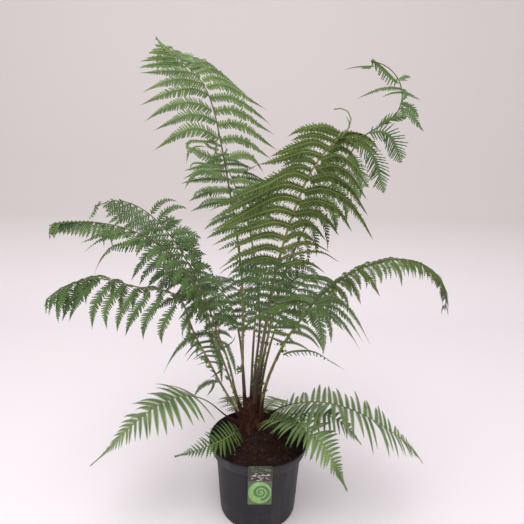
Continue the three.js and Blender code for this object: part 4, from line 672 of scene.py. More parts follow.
        {"line": [[101.3, -168.0, 1029.0], [74.4, -188.0, 1038.5], [44.7, -208.0, 1033.0], [16.3, -228.0, 1019.4]], "half": 11.4, "first": 0.1, "fine": 7.8, "open": 0.37, "wing": 0.18, "shade_web": 0.55, "body": 0.42, "foot": 0.8, "belly": 1.3, "taper": 1.2, "face": [-0.15, -0.9, 0.42], "proud": 1.0, "costa": 0.85},
        {"line": [[99.3, -155.0, 1007.9], [67.8, -171.7, 1022.1], [37.9, -188.3, 1018.5], [2.8, -205.0, 1000.1], [-40.1, -221.7, 984.1], [-79.8, -238.3, 966.5], [-120.6, -255.0, 947.3]], "half": 17.1, "first": 0.1, "fine": 7.8, "open": 0.37, "wing": 0.18, "shade_web": 0.55, "body": 0.42, "foot": 0.8, "belly": 1.3, "taper": 1.2, "face": [-0.15, -0.9, 0.42], "proud": 1.0, "costa": 0.85},
        {"line": [[90.5, -142.0, 981.5], [54.2, -158.7, 995.1], [21.8, -175.3, 991.9], [-16.0, -192.0, 974.4], [-59.4, -208.7, 954.1], [-95.3, -225.3, 936.5], [-126.2, -242.0, 921.6]], "half": 17.1, "first": 0.1, "fine": 7.8, "open": 0.37, "wing": 0.18, "shade_web": 0.55, "body": 0.42, "foot": 0.8, "belly": 1.3, "taper": 1.2, "face": [-0.15, -0.9, 0.42], "proud": 1.0, "costa": 0.85},
        {"line": [[83.6, -130.0, 954.4], [46.6, -150.0, 966.8], [11.6, -170.0, 963.2], [-26.5, -190.0, 945.2], [-72.2, -210.0, 921.1], [-123.1, -230.0, 897.6]], "half": 17.1, "first": 0.1, "fine": 7.8, "open": 0.37, "wing": 0.18, "shade_web": 0.55, "body": 0.42, "foot": 0.8, "belly": 1.3, "taper": 1.2, "face": [-0.15, -0.9, 0.42], "proud": 1.0, "costa": 0.85},
        {"line": [[74.2, -118.0, 920.4], [36.9, -137.0, 935.9], [1.4, -156.0, 933.6], [-37.4, -175.0, 922.3], [-79.4, -194.0, 906.9], [-115.8, -213.0, 896.6]], "half": 16.1, "first": 0.1, "fine": 7.8, "open": 0.37, "wing": 0.18, "shade_web": 0.55, "body": 0.42, "foot": 0.8, "belly": 1.3, "taper": 1.2, "face": [-0.15, -0.9, 0.42], "proud": 1.0, "costa": 0.85},
        {"line": [[69.2, -107.0, 888.1], [26.7, -126.0, 903.1], [-9.2, -145.0, 898.8], [-46.2, -164.0, 890.2], [-82.0, -183.0, 877.3], [-121.3, -202.0, 860.2]], "half": 15.2, "first": 0.1, "fine": 7.8, "open": 0.37, "wing": 0.18, "shade_web": 0.55, "body": 0.42, "foot": 0.8, "belly": 1.3, "taper": 1.2, "face": [-0.15, -0.9, 0.42], "proud": 1.0, "costa": 0.85},
        {"line": [[61.6, -95.0, 851.9], [18.4, -116.2, 871.9], [-17.9, -137.5, 868.5], [-52.8, -158.7, 858.3], [-86.6, -180.0, 836.8]], "half": 12.3, "first": 0.1, "fine": 7.8, "open": 0.37, "wing": 0.18, "shade_web": 0.55, "body": 0.42, "foot": 0.8, "belly": 1.3, "taper": 1.2, "face": [-0.15, -0.9, 0.42], "proud": 1.0, "costa": 0.85, "leaf": "olive"},
        {"line": [[56.1, -84.0, 818.7], [14.8, -105.3, 838.5], [-17.2, -126.5, 836.8], [-59.8, -147.8, 824.2], [-105.7, -169.0, 797.7]], "half": 11.4, "first": 0.1, "fine": 7.8, "open": 0.37, "wing": 0.18, "shade_web": 0.55, "body": 0.42, "foot": 0.8, "belly": 1.3, "taper": 1.2, "face": [-0.15, -0.9, 0.42], "proud": 1.0, "costa": 0.85},
        {"line": [[47.5, -75.0, 790.3], [6.0, -95.0, 807.9], [-33.6, -115.0, 803.7], [-67.0, -135.0, 788.6], [-87.7, -155.0, 771.8]], "half": 11.4, "first": 0.1, "fine": 7.8, "open": 0.37, "wing": 0.18, "shade_web": 0.55, "body": 0.42, "foot": 0.8, "belly": 1.3, "taper": 1.2, "face": [-0.15, -0.9, 0.42], "proud": 1.0, "costa": 0.85},
        {"line": [[139.6, -212.0, 1089.0], [161.7, -192.0, 1099.4], [185.6, -172.0, 1091.1], [206.9, -152.0, 1069.4]], "half": 15.2, "first": 0.1, "fine": 7.8, "open": 0.37, "wing": 0.18, "shade_web": 0.55, "body": 0.42, "foot": 0.8, "belly": 1.3, "taper": 1.2, "face": [-0.15, -0.9, 0.42], "proud": 1.0, "costa": 0.85},
        {"line": [[129.7, -200.0, 1071.9], [158.4, -180.0, 1082.3], [189.7, -160.0, 1067.2], [214.2, -140.0, 1035.7]], "half": 18.1, "first": 0.1, "fine": 7.8, "open": 0.37, "wing": 0.18, "shade_web": 0.55, "body": 0.42, "foot": 0.8, "belly": 1.3, "taper": 1.2, "face": [-0.15, -0.9, 0.42], "proud": 1.0, "costa": 0.85},
        {"line": [[117.9, -184.0, 1051.9], [159.3, -157.3, 1060.0], [202.1, -130.7, 1039.3], [239.4, -104.0, 993.9]], "half": 20.9, "first": 0.1, "fine": 7.8, "open": 0.37, "wing": 0.18, "shade_web": 0.55, "body": 0.42, "foot": 0.8, "belly": 1.3, "taper": 1.2, "face": [-0.15, -0.9, 0.42], "proud": 1.0, "costa": 0.85},
        {"line": [[109.8, -170.0, 1031.4], [154.0, -143.3, 1037.0], [202.1, -116.7, 1013.2], [248.1, -90.0, 954.1]], "half": 21.8, "first": 0.1, "fine": 7.8, "open": 0.37, "wing": 0.18, "shade_web": 0.55, "body": 0.42, "foot": 0.8, "belly": 1.3, "taper": 1.2, "face": [-0.15, -0.9, 0.42], "proud": 1.0, "costa": 0.85},
        {"line": [[99.3, -156.0, 1005.8], [148.7, -127.7, 1013.1], [205.2, -99.3, 983.4], [258.2, -71.0, 911.9]], "half": 21.8, "first": 0.1, "fine": 7.8, "open": 0.37, "wing": 0.18, "shade_web": 0.55, "body": 0.42, "foot": 0.8, "belly": 1.3, "taper": 1.2, "face": [-0.15, -0.9, 0.42], "proud": 1.0, "costa": 0.85},
        {"line": [[88.4, -142.0, 976.9], [140.0, -119.5, 982.1], [203.0, -97.0, 951.9], [245.7, -74.5, 902.3], [280.5, -52.0, 847.0]], "half": 19.9, "first": 0.1, "fine": 7.8, "open": 0.37, "wing": 0.18, "shade_web": 0.55, "body": 0.42, "foot": 0.8, "belly": 1.3, "taper": 1.2, "face": [-0.15, -0.9, 0.42], "proud": 1.0, "costa": 0.85},
        {"line": [[79.2, -130.0, 947.3], [129.6, -103.3, 951.5], [186.5, -76.7, 924.1], [225.6, -50.0, 866.6]], "half": 20.9, "first": 0.1, "fine": 7.8, "open": 0.37, "wing": 0.18, "shade_web": 0.55, "body": 0.42, "foot": 0.8, "belly": 1.3, "taper": 1.2, "face": [-0.15, -0.9, 0.42], "proud": 1.0, "costa": 0.85},
        {"line": [[71.8, -118.0, 921.6], [117.8, -93.0, 923.1], [162.0, -68.0, 899.8], [194.2, -43.0, 854.3]], "half": 19.0, "first": 0.1, "fine": 7.8, "open": 0.37, "wing": 0.18, "shade_web": 0.55, "body": 0.42, "foot": 0.8, "belly": 1.3, "taper": 1.2, "face": [-0.15, -0.9, 0.42], "proud": 1.0, "costa": 0.85},
        {"line": [[57.2, -106.0, 885.2], [100.5, -82.7, 896.4], [134.2, -59.3, 877.4], [162.6, -36.0, 839.1]], "half": 17.1, "first": 0.1, "fine": 7.8, "open": 0.37, "wing": 0.18, "shade_web": 0.55, "body": 0.42, "foot": 0.8, "belly": 1.3, "taper": 1.2, "face": [-0.15, -0.9, 0.42], "proud": 1.0, "costa": 0.85},
        {"line": [[50.3, -96.0, 857.0], [90.0, -76.0, 867.3], [120.7, -56.0, 850.7], [142.5, -36.0, 825.5]], "half": 11.4, "first": 0.1, "fine": 7.8, "open": 0.37, "wing": 0.18, "shade_web": 0.55, "body": 0.42, "foot": 0.8, "belly": 1.3, "taper": 1.2, "face": [-0.15, -0.9, 0.42], "proud": 1.0, "costa": 0.85},
        {"line": [[42.0, -86.0, 826.7], [92.5, -62.7, 838.8], [133.9, -39.3, 831.5], [178.0, -16.0, 805.1]], "half": 8.5, "first": 0.1, "fine": 7.8, "open": 0.37, "wing": 0.18, "shade_web": 0.55, "body": 0.42, "foot": 0.8, "belly": 1.3, "taper": 1.2, "face": [-0.15, -0.9, 0.42], "proud": 1.0, "costa": 0.85},
        {"line": [[37.0, -78.0, 798.8], [94.7, -51.3, 811.2], [155.4, -24.7, 806.9], [207.1, 2.0, 773.3]], "half": 6.6, "first": 0.1, "fine": 7.8, "open": 0.37, "wing": 0.18, "shade_web": 0.5, "body": 0.42, "foot": 0.8, "belly": 1.3, "taper": 1.2, "face": [-0.15, -0.9, 0.42], "proud": 1.0, "costa": 0.85},
        {"line": [[31.7, -70.0, 775.6], [91.0, -46.7, 786.0], [133.4, -23.3, 773.5], [170.5, 0.0, 742.4]], "half": 10.4, "first": 0.1, "fine": 7.8, "open": 0.37, "wing": 0.18, "shade_web": 0.55, "body": 0.42, "foot": 0.8, "belly": 1.3, "taper": 1.2, "face": [-0.15, -0.9, 0.42], "proud": 1.0, "costa": 0.85},
        {"line": [[152.7, -215.0, 1107.6], [179.6, -195.0, 1111.1], [210.5, -175.0, 1102.2], [243.5, -155.0, 1081.1]], "half": 12.3, "first": 0.1, "fine": 7.8, "open": 0.37, "wing": 0.18, "shade_web": 0.55, "body": 0.42, "foot": 0.8, "belly": 1.3, "taper": 1.2, "face": [-0.15, -0.9, 0.42], "proud": 1.0, "costa": 0.85},
        {"line": [[149.2, -222.0, 1109.5], [123.6, -235.3, 1120.9], [93.2, -248.7, 1121.1], [66.0, -262.0, 1111.8]], "half": 8.5, "first": 0.1, "fine": 7.8, "open": 0.37, "wing": 0.18, "shade_web": 0.55, "body": 0.42, "foot": 0.8, "belly": 1.3, "taper": 1.2, "face": [-0.15, -0.9, 0.42], "proud": 1.0, "costa": 0.85},
        {"line": [[155.2, -214.0, 1103.6], [175.4, -189.0, 1095.4], [197.2, -164.0, 1076.2]], "half": 11.4, "first": 0.1, "fine": 7.8, "open": 0.37, "wing": 0.18, "shade_web": 0.55, "body": 0.42, "foot": 0.8, "belly": 1.3, "taper": 1.2, "face": [-0.15, -0.9, 0.42], "proud": 1.0, "costa": 0.85},
    ],
    "frond_low_left": [
        {"line": [[-425.2, -36.0, 725.8], [-450.3, -42.5, 708.4], [-475.9, -49.0, 682.8], [-494.2, -55.5, 651.7], [-505.0, -62.0, 617.8]], "half": 16.5, "fine": 6.3, "open": 0.42, "body": 0.42, "foot": 0.5, "belly": 1.15, "taper": 1.25, "wing": 0.26, "merge": 0.7, "lean": 30, "lean_more": 15, "face": [0.35, -0.9, 0.3]},
        {"line": [[-456.5, -36.0, 722.7], [-476.6, -42.0, 705.2], [-494.4, -48.0, 682.2], [-513.2, -54.0, 648.1], [-524.0, -60.0, 616.8]], "half": 16.5, "fine": 6.3, "open": 0.42, "body": 0.42, "foot": 0.5, "belly": 1.15, "taper": 1.25, "wing": 0.26, "merge": 0.7, "lean": 30, "lean_more": 15, "face": [0.35, -0.9, 0.3]},
        {"line": [[-392.1, -34.0, 722.9], [-409.6, -41.0, 702.9], [-429.9, -48.0, 677.4], [-442.9, -55.0, 646.5], [-446.8, -62.0, 595.9]], "half": 16.5, "fine": 6.3, "open": 0.42, "body": 0.42, "foot": 0.5, "belly": 1.15, "taper": 1.25, "wing": 0.26, "merge": 0.7, "lean": 30, "lean_more": 15, "face": [0.35, -0.9, 0.3]},
        {"line": [[-364.1, -33.0, 714.7], [-381.6, -40.2, 694.8], [-399.2, -47.5, 672.1], [-412.1, -54.8, 641.2], [-407.6, -62.0, 596.3]], "half": 16.5, "fine": 6.3, "open": 0.42, "body": 0.42, "foot": 0.5, "belly": 1.15, "taper": 1.25, "wing": 0.26, "merge": 0.7, "lean": 30, "lean_more": 15, "face": [0.35, -0.9, 0.3]},
        {"line": [[-328.2, -32.0, 703.8], [-343.2, -39.5, 683.9], [-361.0, -47.0, 658.4], [-376.3, -54.5, 630.3], [-381.9, -62.0, 588.1]], "half": 16.5, "fine": 6.3, "open": 0.42, "body": 0.42, "foot": 0.5, "belly": 1.15, "taper": 1.25, "wing": 0.26, "merge": 0.7, "lean": 30, "lean_more": 15, "face": [0.35, -0.9, 0.3]},
        {"line": [[-297.3, -31.0, 692.7], [-312.5, -38.8, 670.0], [-332.9, -46.5, 644.6], [-348.3, -54.2, 616.4], [-361.5, -62.0, 576.9]], "half": 16.5, "fine": 6.3, "open": 0.42, "body": 0.42, "foot": 0.5, "belly": 1.15, "taper": 1.25, "wing": 0.26, "merge": 0.7, "lean": 30, "lean_more": 15, "face": [0.35, -0.9, 0.3]},
        {"line": [[-263.7, -30.0, 678.8], [-278.8, -37.5, 661.6], [-296.7, -45.0, 638.8], [-312.2, -52.5, 607.6], [-315.1, -60.0, 565.0]], "half": 16.5, "fine": 6.3, "open": 0.42, "body": 0.42, "foot": 0.5, "belly": 1.15, "taper": 1.25, "wing": 0.26, "merge": 0.7, "lean": 30, "lean_more": 15, "face": [0.35, -0.9, 0.3]},
        {"line": [[-229.9, -29.0, 656.2], [-245.4, -35.7, 635.8], [-261.1, -42.5, 609.7], [-268.7, -49.3, 583.7], [-265.9, -56.0, 552.1]], "half": 16.5, "fine": 6.3, "open": 0.42, "body": 0.42, "foot": 0.5, "belly": 1.15, "taper": 1.25, "wing": 0.26, "merge": 0.7, "lean": 30, "lean_more": 15, "face": [0.35, -0.9, 0.3]},
    ],
    "frond_upper_left": [
        {"line": [[-426.6, 165.0, 908.3], [-445.3, 157.5, 900.2], [-461.3, 150.0, 886.5]], "half": 17, "fine": 7.4, "open": 0.4, "wing": 0.18, "body": 0.3, "foot": 0.7},
        {"line": [[-400.2, 152.0, 907.6], [-427.3, 143.5, 896.7], [-451.8, 135.0, 877.4]], "half": 19, "fine": 7.4, "open": 0.4, "wing": 0.18, "body": 0.3, "foot": 0.7},
        {"line": [[-374.5, 140.0, 903.9], [-407.1, 130.7, 890.3], [-430.9, 121.3, 877.0], [-446.0, 112.0, 864.0]], "half": 16, "fine": 7.4, "open": 0.4, "wing": 0.18, "body": 0.3, "foot": 0.7},
        {"line": [[-355.5, 130.0, 897.0], [-384.8, 119.3, 883.8], [-413.9, 108.7, 867.9], [-434.5, 98.0, 849.5]], "half": 17, "fine": 7.4, "open": 0.4, "wing": 0.18, "body": 0.3, "foot": 0.7},
        {"line": [[-337.4, 123.0, 886.9], [-363.5, 111.3, 876.9], [-395.0, 99.7, 864.1], [-418.0, 88.0, 845.9]], "half": 18, "fine": 7.4, "open": 0.4, "wing": 0.18, "body": 0.3, "foot": 0.7},
        {"line": [[-319.0, 114.0, 877.2], [-342.3, 102.7, 867.3], [-371.1, 91.3, 854.6], [-391.5, 80.0, 836.5]], "half": 19, "fine": 7.4, "open": 0.4, "wing": 0.18, "body": 0.3, "foot": 0.7},
        {"line": [[-301.1, 106.0, 861.6], [-326.9, 94.0, 857.6], [-352.4, 82.0, 850.9], [-375.2, 70.0, 835.9]], "half": 17, "fine": 6.5, "open": 0.32, "wing": 0.18, "body": 0.35, "foot": 0.6},
        {"line": [[-280.5, 98.0, 843.3], [-306.2, 84.7, 839.8], [-331.5, 71.3, 833.5], [-354.2, 58.0, 813.4]], "half": 17, "fine": 6.5, "open": 0.34, "wing": 0.2, "body": 0.35, "foot": 0.6},
        {"line": [[-316.1, 114.0, 877.2], [-307.8, 117.2, 891.2], [-293.6, 120.4, 908.0], [-274.1, 123.6, 916.5], [-254.8, 126.8, 916.3], [-244.1, 130.0, 910.4]], "half": 12, "fine": 7.4, "open": 0.4, "wing": 0.18, "body": 0.25, "foot": 0.7},
        {"line": [[-295.2, 104.0, 856.3], [-284.0, 107.6, 875.9], [-267.1, 111.2, 892.7], [-245.0, 114.8, 898.3], [-222.9, 118.4, 898.1], [-215.0, 122.0, 889.1]], "half": 14, "fine": 7.4, "open": 0.4, "wing": 0.18, "body": 0.25, "foot": 0.7},
        {"line": [[-274.8, 96.0, 835.2], [-266.0, 97.3, 855.2], [-251.9, 98.7, 863.7], [-238.3, 100.0, 855.1]], "half": 18, "fine": 7.4, "open": 0.4, "wing": 0.18, "body": 0.3, "foot": 0.7},
        {"line": [[-259.9, 88.0, 819.8], [-240.0, 89.0, 834.2], [-214.9, 90.0, 834.4], [-189.8, 91.0, 823.1], [-170.3, 92.0, 811.6]], "half": 19, "fine": 7.4, "open": 0.4, "wing": 0.18, "body": 0.35, "foot": 0.7, "face": [0.2, -0.6, 0.75]},
        {"line": [[-248.2, 82.0, 803.9], [-225.3, 81.3, 818.8], [-200.1, 80.7, 810.7], [-172.2, 80.0, 793.9]], "half": 18, "fine": 7.4, "open": 0.4, "wing": 0.18, "face": [0.2, -0.6, 0.75]},
        {"line": [[-236.6, 77.0, 787.9], [-216.6, 76.2, 799.9], [-194.3, 75.5, 788.9], [-177.6, 74.8, 769.0], [-172.2, 74.0, 742.9]], "half": 19, "fine": 7.4, "open": 0.4, "wing": 0.18, "face": [0.3, -0.6, 0.7]},
        {"line": [[-219.4, 70.0, 760.8], [-199.5, 68.7, 767.3], [-182.7, 67.3, 750.4], [-171.7, 66.0, 721.5]], "half": 18, "fine": 7.4, "open": 0.4, "wing": 0.18, "face": [0.3, -0.6, 0.7]},
        {"line": [[-196.4, 60.0, 722.9], [-179.2, 59.0, 738.1], [-159.4, 58.0, 744.5], [-145.4, 57.0, 733.3], [-134.2, 56.0, 710.2]], "half": 11, "fine": 7.4, "open": 0.4, "wing": 0.18, "body": 0.3},
        {"line": [[-179.3, 54.0, 692.5], [-156.5, 52.0, 705.3], [-133.8, 50.0, 706.2], [-116.9, 48.0, 692.3], [-102.7, 46.0, 669.4]], "half": 13, "fine": 7.4, "open": 0.4, "wing": 0.18, "body": 0.3},
        {"line": [[-165.1, 49.0, 661.6], [-142.1, 45.3, 669.1], [-119.4, 41.7, 661.7], [-99.5, 38.0, 639.4]], "half": 14, "fine": 7.4, "open": 0.4, "wing": 0.18, "body": 0.3},
        {"line": [[-150.8, 44.0, 627.6], [-125.0, 40.0, 635.3], [-96.5, 36.0, 628.1], [-76.5, 32.0, 605.8]], "half": 14, "fine": 7.4, "open": 0.4, "wing": 0.18, "body": 0.3},
        {"line": [[-139.4, 40.0, 592.8], [-110.7, 36.0, 597.8], [-84.9, 32.0, 587.5], [-67.6, 28.0, 558.8]], "half": 14, "fine": 7.4, "open": 0.4, "wing": 0.18, "body": 0.3},
        {"line": [[-244.9, 78.0, 799.1], [-284.9, 66.0, 795.5], [-319.3, 54.0, 775.0], [-343.0, 42.0, 740.6], [-361.3, 30.0, 703.5]], "half": 20, "fine": 7.4, "open": 0.4, "wing": 0.18, "body": 0.3, "foot": 0.75},
        {"line": [[-225.1, 72.0, 771.9], [-262.5, 60.5, 768.5], [-299.9, 49.0, 750.8], [-326.5, 37.5, 719.0], [-339.0, 26.0, 690.6]], "half": 20, "fine": 7.4, "open": 0.4, "wing": 0.18, "body": 0.3, "foot": 0.75},
        {"line": [[-207.9, 66.0, 747.5], [-242.8, 55.0, 747.1], [-274.8, 44.0, 732.3], [-301.2, 33.0, 709.2], [-316.5, 22.0, 683.5]], "half": 19, "fine": 7.4, "open": 0.4, "wing": 0.18, "body": 0.3, "foot": 0.75},
        {"line": [[-185.1, 57.0, 706.3], [-211.9, 47.3, 711.8], [-241.2, 37.5, 708.6], [-267.6, 27.7, 696.7], [-291.4, 18.0, 673.5]], "half": 18, "fine": 7.4, "open": 0.4, "wing": 0.18, "body": 0.4, "foot": 0.7},
        {"line": [[-165.1, 50.0, 667.3], [-192.2, 39.5, 667.5], [-227.2, 29.0, 661.8], [-264.8, 18.5, 647.4], [-299.5, 8.0, 624.3]], "half": 18, "fine": 7.4, "open": 0.4, "wing": 0.18, "body": 0.4, "foot": 0.7},
        {"line": [[-150.9, 45.0, 630.2], [-172.7, 36.8, 633.0], [-194.6, 28.5, 614.8], [-208.1, 20.3, 590.9], [-215.9, 12.0, 564.0]], "half": 14, "fine": 6.2, "open": 0.4, "wing": 0.3, "body": 0.3, "foot": 0.7},
        {"line": [[-121.6, 26.0, 546.8], [-155.6, 26.0, 552.6], [-189.8, 26.0, 546.1], [-218.6, 26.0, 524.2], [-251.1, 26.0, 483.4], [-281.7, 26.0, 422.8]], "half": 14, "belly": 1.1, "taper": 1.6, "fine": 5.2, "open": 0.42, "wing": 0.3, "body": 0.35, "foot": 0.6},
        {"line": [[-134.6, 46.0, 519.2], [-166.5, 46.0, 515.7], [-195.6, 46.0, 502.8], [-222.5, 46.0, 467.6]], "half": 5.5, "kind": "strip"},
        {"line": [[-128.8, 46.0, 500.3], [-160.8, 46.0, 500.0], [-190.1, 46.0, 487.0], [-217.0, 46.0, 451.6]], "half": 5, "kind": "strip"},
        {"line": [[-120.2, 46.0, 484.5], [-146.4, 46.0, 487.4], [-169.8, 46.0, 480.8], [-199.3, 46.0, 458.2]], "half": 4.6, "kind": "strip"},
        {"line": [[-111.4, 46.0, 465.4], [-140.7, 46.0, 471.5], [-164.1, 46.0, 471.3], [-193.5, 46.0, 458.2]], "half": 4.4, "kind": "strip"},
        {"line": [[-105.6, 46.0, 446.1], [-134.9, 46.0, 452.3], [-158.4, 46.0, 452.1], [-184.9, 46.0, 442.2]], "half": 4.2, "kind": "strip"},
        {"line": [[-111.5, 46.0, 426.6], [-129.2, 46.0, 413.5], [-147.1, 46.0, 400.2]], "half": 4, "kind": "strip"},
        {"line": [[-145.5, 40.0, 543.6], [-134.2, 40.0, 509.3], [-122.7, 40.0, 471.4], [-114.1, 40.0, 433.0], [-111.2, 40.0, 384.1]], "half": 14, "fine": 5.2, "open": 0.42, "wing": 0.3, "body": 0.35, "foot": 0.6},
        {"line": [[-128.4, 42.0, 536.6], [-117.0, 42.0, 505.4], [-105.4, 42.0, 486.5]], "half": 11, "fine": 5.2, "open": 0.42, "wing": 0.3, "body": 0.35, "foot": 0.6},
        {"line": [[-96.8, 46.0, 503.8], [-85.1, 46.0, 475.2], [-76.1, 46.0, 446.4], [-70.0, 46.0, 407.4]], "half": 8, "fine": 5.2, "open": 0.42, "wing": 0.3, "body": 0.35, "foot": 0.6},
        {"line": [[-142.9, 46.0, 562.7], [-111.3, 46.0, 593.8], [-85.5, 46.0, 594.1], [-62.3, 46.0, 560.5]], "half": 15, "fine": 5.2, "open": 0.42, "wing": 0.3, "body": 0.35, "foot": 0.6},
        {"line": [[-134.4, 46.0, 544.2], [-105.5, 46.0, 547.6], [-79.5, 46.0, 526.0]], "half": 8, "fine": 5.2, "open": 0.42, "wing": 0.3, "body": 0.35, "foot": 0.6},
        {"line": [[-120.1, 46.0, 490.9], [-93.9, 46.0, 506.9], [-79.4, 46.0, 519.7], [-70.8, 46.0, 541.7]], "half": 3.5, "kind": "strip"},
        {"line": [[-114.3, 46.0, 519.4], [-96.8, 46.0, 506.9], [-82.2, 46.0, 488.0]], "half": 8, "fine": 5.2, "open": 0.42, "wing": 0.3, "body": 0.35, "foot": 0.6},
        {"line": [[-120.4, 46.0, 390.6], [-150.1, 46.0, 387.0], [-177.0, 46.0, 370.3], [-198.5, 46.0, 333.5]], "half": 10, "fine": 5.2, "open": 0.42, "wing": 0.3, "body": 0.35, "foot": 0.6},
        {"line": [[-135.3, 46.0, 383.9], [-141.4, 46.0, 363.9], [-156.5, 46.0, 340.5]], "half": 5, "kind": "strip"},
        {"line": [[-150.9, 46.0, 644.9], [-179.3, 46.0, 635.5], [-208.0, 46.0, 617.1], [-237.2, 46.0, 583.3]], "half": 12, "fine": 5.2, "open": 0.42, "wing": 0.3, "body": 0.35, "foot": 0.6},
        {"line": [[-148.3, 46.0, 614.8], [-119.7, 46.0, 636.3], [-91.3, 46.0, 642.6], [-71.4, 46.0, 627.8]], "half": 12, "fine": 5.2, "open": 0.42, "wing": 0.3, "body": 0.35, "foot": 0.6},
    ],
    "frond_far_left": [
        {"line": [[-286.3, -33.0, 834.3], [-316.2, -37.8, 827.1], [-353.3, -42.7, 825.0], [-385.4, -47.5, 817.8], [-408.2, -52.3, 795.0], [-423.8, -57.2, 767.1], [-431.4, -62.0, 744.4]], "half": 24, "fine": 6.6, "open": 0.34, "body": 0.3, "foot": 0.7, "belly": 1.0, "taper": 2.1, "wing": 0.16, "merge": 0.6, "sides": [1.0, 0.45], "lean": 20, "lean_more": 25, "face": [0, -0.95, 0.3]},
        {"line": [[-324.9, -39.0, 853.3], [-361.0, -46.8, 851.8], [-394.4, -54.5, 845.2], [-422.9, -62.2, 831.0], [-452.0, -70.0, 806.7]], "half": 14, "body": 0.25, "foot": 0.7, "belly": 1.0, "taper": 1.5, "fine": 6, "open": 0.42, "wing": 0.26},
        {"line": [[-349.0, -42.0, 863.9], [-379.7, -50.2, 859.9], [-407.6, -58.5, 853.5], [-433.2, -66.8, 842.1], [-453.3, -75.0, 833.4]], "half": 12, "body": 0.25, "foot": 0.7, "fine": 6, "open": 0.42, "wing": 0.26},
        {"line": [[-303.1, -36.0, 845.2], [-327.0, -44.0, 838.8], [-345.7, -52.0, 829.8], [-362.1, -60.0, 815.9]], "half": 16, "fine": 6, "open": 0.42, "wing": 0.26},
        {"line": [[-382.3, -47.0, 872.1], [-384.6, -52.5, 850.0], [-382.2, -58.0, 822.9]], "half": 8, "fine": 6, "open": 0.42, "wing": 0.26},
        {"line": [[-398.6, -50.0, 877.5], [-403.4, -56.0, 853.0], [-401.2, -62.0, 821.0]], "half": 7, "fine": 6, "open": 0.42, "wing": 0.26},
        {"line": [[-364.0, -50.0, 873.6], [-368.5, -58.0, 856.0], [-374.2, -66.0, 838.4]], "half": 7.5, "fine": 4.5, "open": 0.44, "body": 0.3, "foot": 0.8, "wing": 0.3, "face": [0.2, -0.95, 0.2]},
        {"line": [[-388.7, -50.0, 877.8], [-394.4, -58.0, 857.6], [-401.5, -66.0, 837.5]], "half": 7.5, "fine": 4.5, "open": 0.44, "body": 0.3, "foot": 0.8, "wing": 0.3, "face": [0.2, -0.95, 0.2]},
        {"line": [[-408.4, -50.0, 881.2], [-412.9, -58.0, 861.0], [-418.6, -66.0, 840.9]], "half": 7.5, "fine": 4.5, "open": 0.44, "body": 0.3, "foot": 0.8, "wing": 0.3, "face": [0.2, -0.95, 0.2]},
        {"line": [[-418.2, -50.0, 882.9], [-423.9, -58.0, 861.4], [-431.1, -66.0, 840.0]], "half": 7.5, "fine": 4.5, "open": 0.44, "body": 0.3, "foot": 0.8, "wing": 0.3, "face": [0.2, -0.95, 0.2]},
        {"line": [[-430.5, -50.0, 884.9], [-436.1, -58.0, 863.5], [-443.3, -66.0, 842.1]], "half": 7.5, "fine": 4.5, "open": 0.44, "body": 0.3, "foot": 0.8, "wing": 0.3, "face": [0.2, -0.95, 0.2]},
        {"line": [[-440.3, -50.0, 885.7], [-446.0, -58.0, 864.3], [-453.1, -66.0, 842.9]], "half": 7.5, "fine": 4.5, "open": 0.44, "body": 0.3, "foot": 0.8, "wing": 0.3, "face": [0.2, -0.95, 0.2]},
        {"line": [[-450.3, -50.0, 885.5], [-454.7, -58.0, 865.4], [-460.3, -66.0, 845.3]], "half": 7.5, "fine": 4.5, "open": 0.44, "body": 0.3, "foot": 0.8, "wing": 0.3, "face": [0.2, -0.95, 0.2]},
        {"line": [[-460.2, -50.0, 885.4], [-464.5, -58.0, 866.5], [-470.0, -66.0, 847.7]], "half": 7.5, "fine": 4.5, "open": 0.44, "body": 0.3, "foot": 0.8, "wing": 0.3, "face": [0.2, -0.95, 0.2]},
        {"line": [[-470.1, -50.0, 885.2], [-474.4, -58.0, 866.4], [-479.9, -66.0, 847.6]], "half": 7.5, "fine": 4.5, "open": 0.44, "body": 0.3, "foot": 0.8, "wing": 0.3, "face": [0.2, -0.95, 0.2]},
        {"line": [[-480.1, -50.0, 885.1], [-484.2, -58.0, 867.5], [-489.6, -66.0, 850.0]], "half": 7.5, "fine": 4.5, "open": 0.44, "body": 0.3, "foot": 0.8, "wing": 0.3, "face": [0.2, -0.95, 0.2]},
        {"line": [[-490.0, -50.0, 884.9], [-494.1, -58.0, 867.3], [-499.4, -66.0, 849.8]], "half": 7.5, "fine": 4.5, "open": 0.44, "body": 0.3, "foot": 0.8, "wing": 0.3, "face": [0.2, -0.95, 0.2]},
        {"line": [[-500.0, -50.0, 884.0], [-503.9, -58.0, 867.7], [-509.1, -66.0, 851.5]], "half": 7.5, "fine": 4.5, "open": 0.44, "body": 0.3, "foot": 0.8, "wing": 0.3, "face": [0.2, -0.95, 0.2]},
        {"line": [[-510.0, -50.0, 882.3], [-514.0, -58.0, 866.0], [-519.1, -66.0, 849.8]], "half": 7.5, "fine": 4.5, "open": 0.44, "body": 0.3, "foot": 0.8, "wing": 0.3, "face": [0.2, -0.95, 0.2]},
        {"line": [[-520.1, -50.0, 880.6], [-523.8, -58.0, 866.9], [-528.6, -66.0, 853.2]], "half": 7.5, "fine": 4.5, "open": 0.44, "body": 0.3, "foot": 0.8, "wing": 0.3, "face": [0.2, -0.95, 0.2]},
    ],
    "frond_front_right": [
        {"line": [[106.2, -255.0, 742.5], [78.9, -238.0, 747.8], [44.8, -221.0, 731.8], [9.5, -204.0, 708.0], [-27.1, -187.0, 678.6], [-60.2, -170.0, 635.2]], "half": 14, "fine": 5.6, "open": 0.44, "wing": 0.3, "body": 0.35, "foot": 0.8},
        {"line": [[105.9, -270.0, 754.8], [77.4, -248.3, 760.8], [48.4, -226.7, 748.2], [18.3, -205.0, 725.7]], "half": 10, "fine": 5.2, "open": 0.44, "wing": 0.3, "body": 0.3, "foot": 0.8},
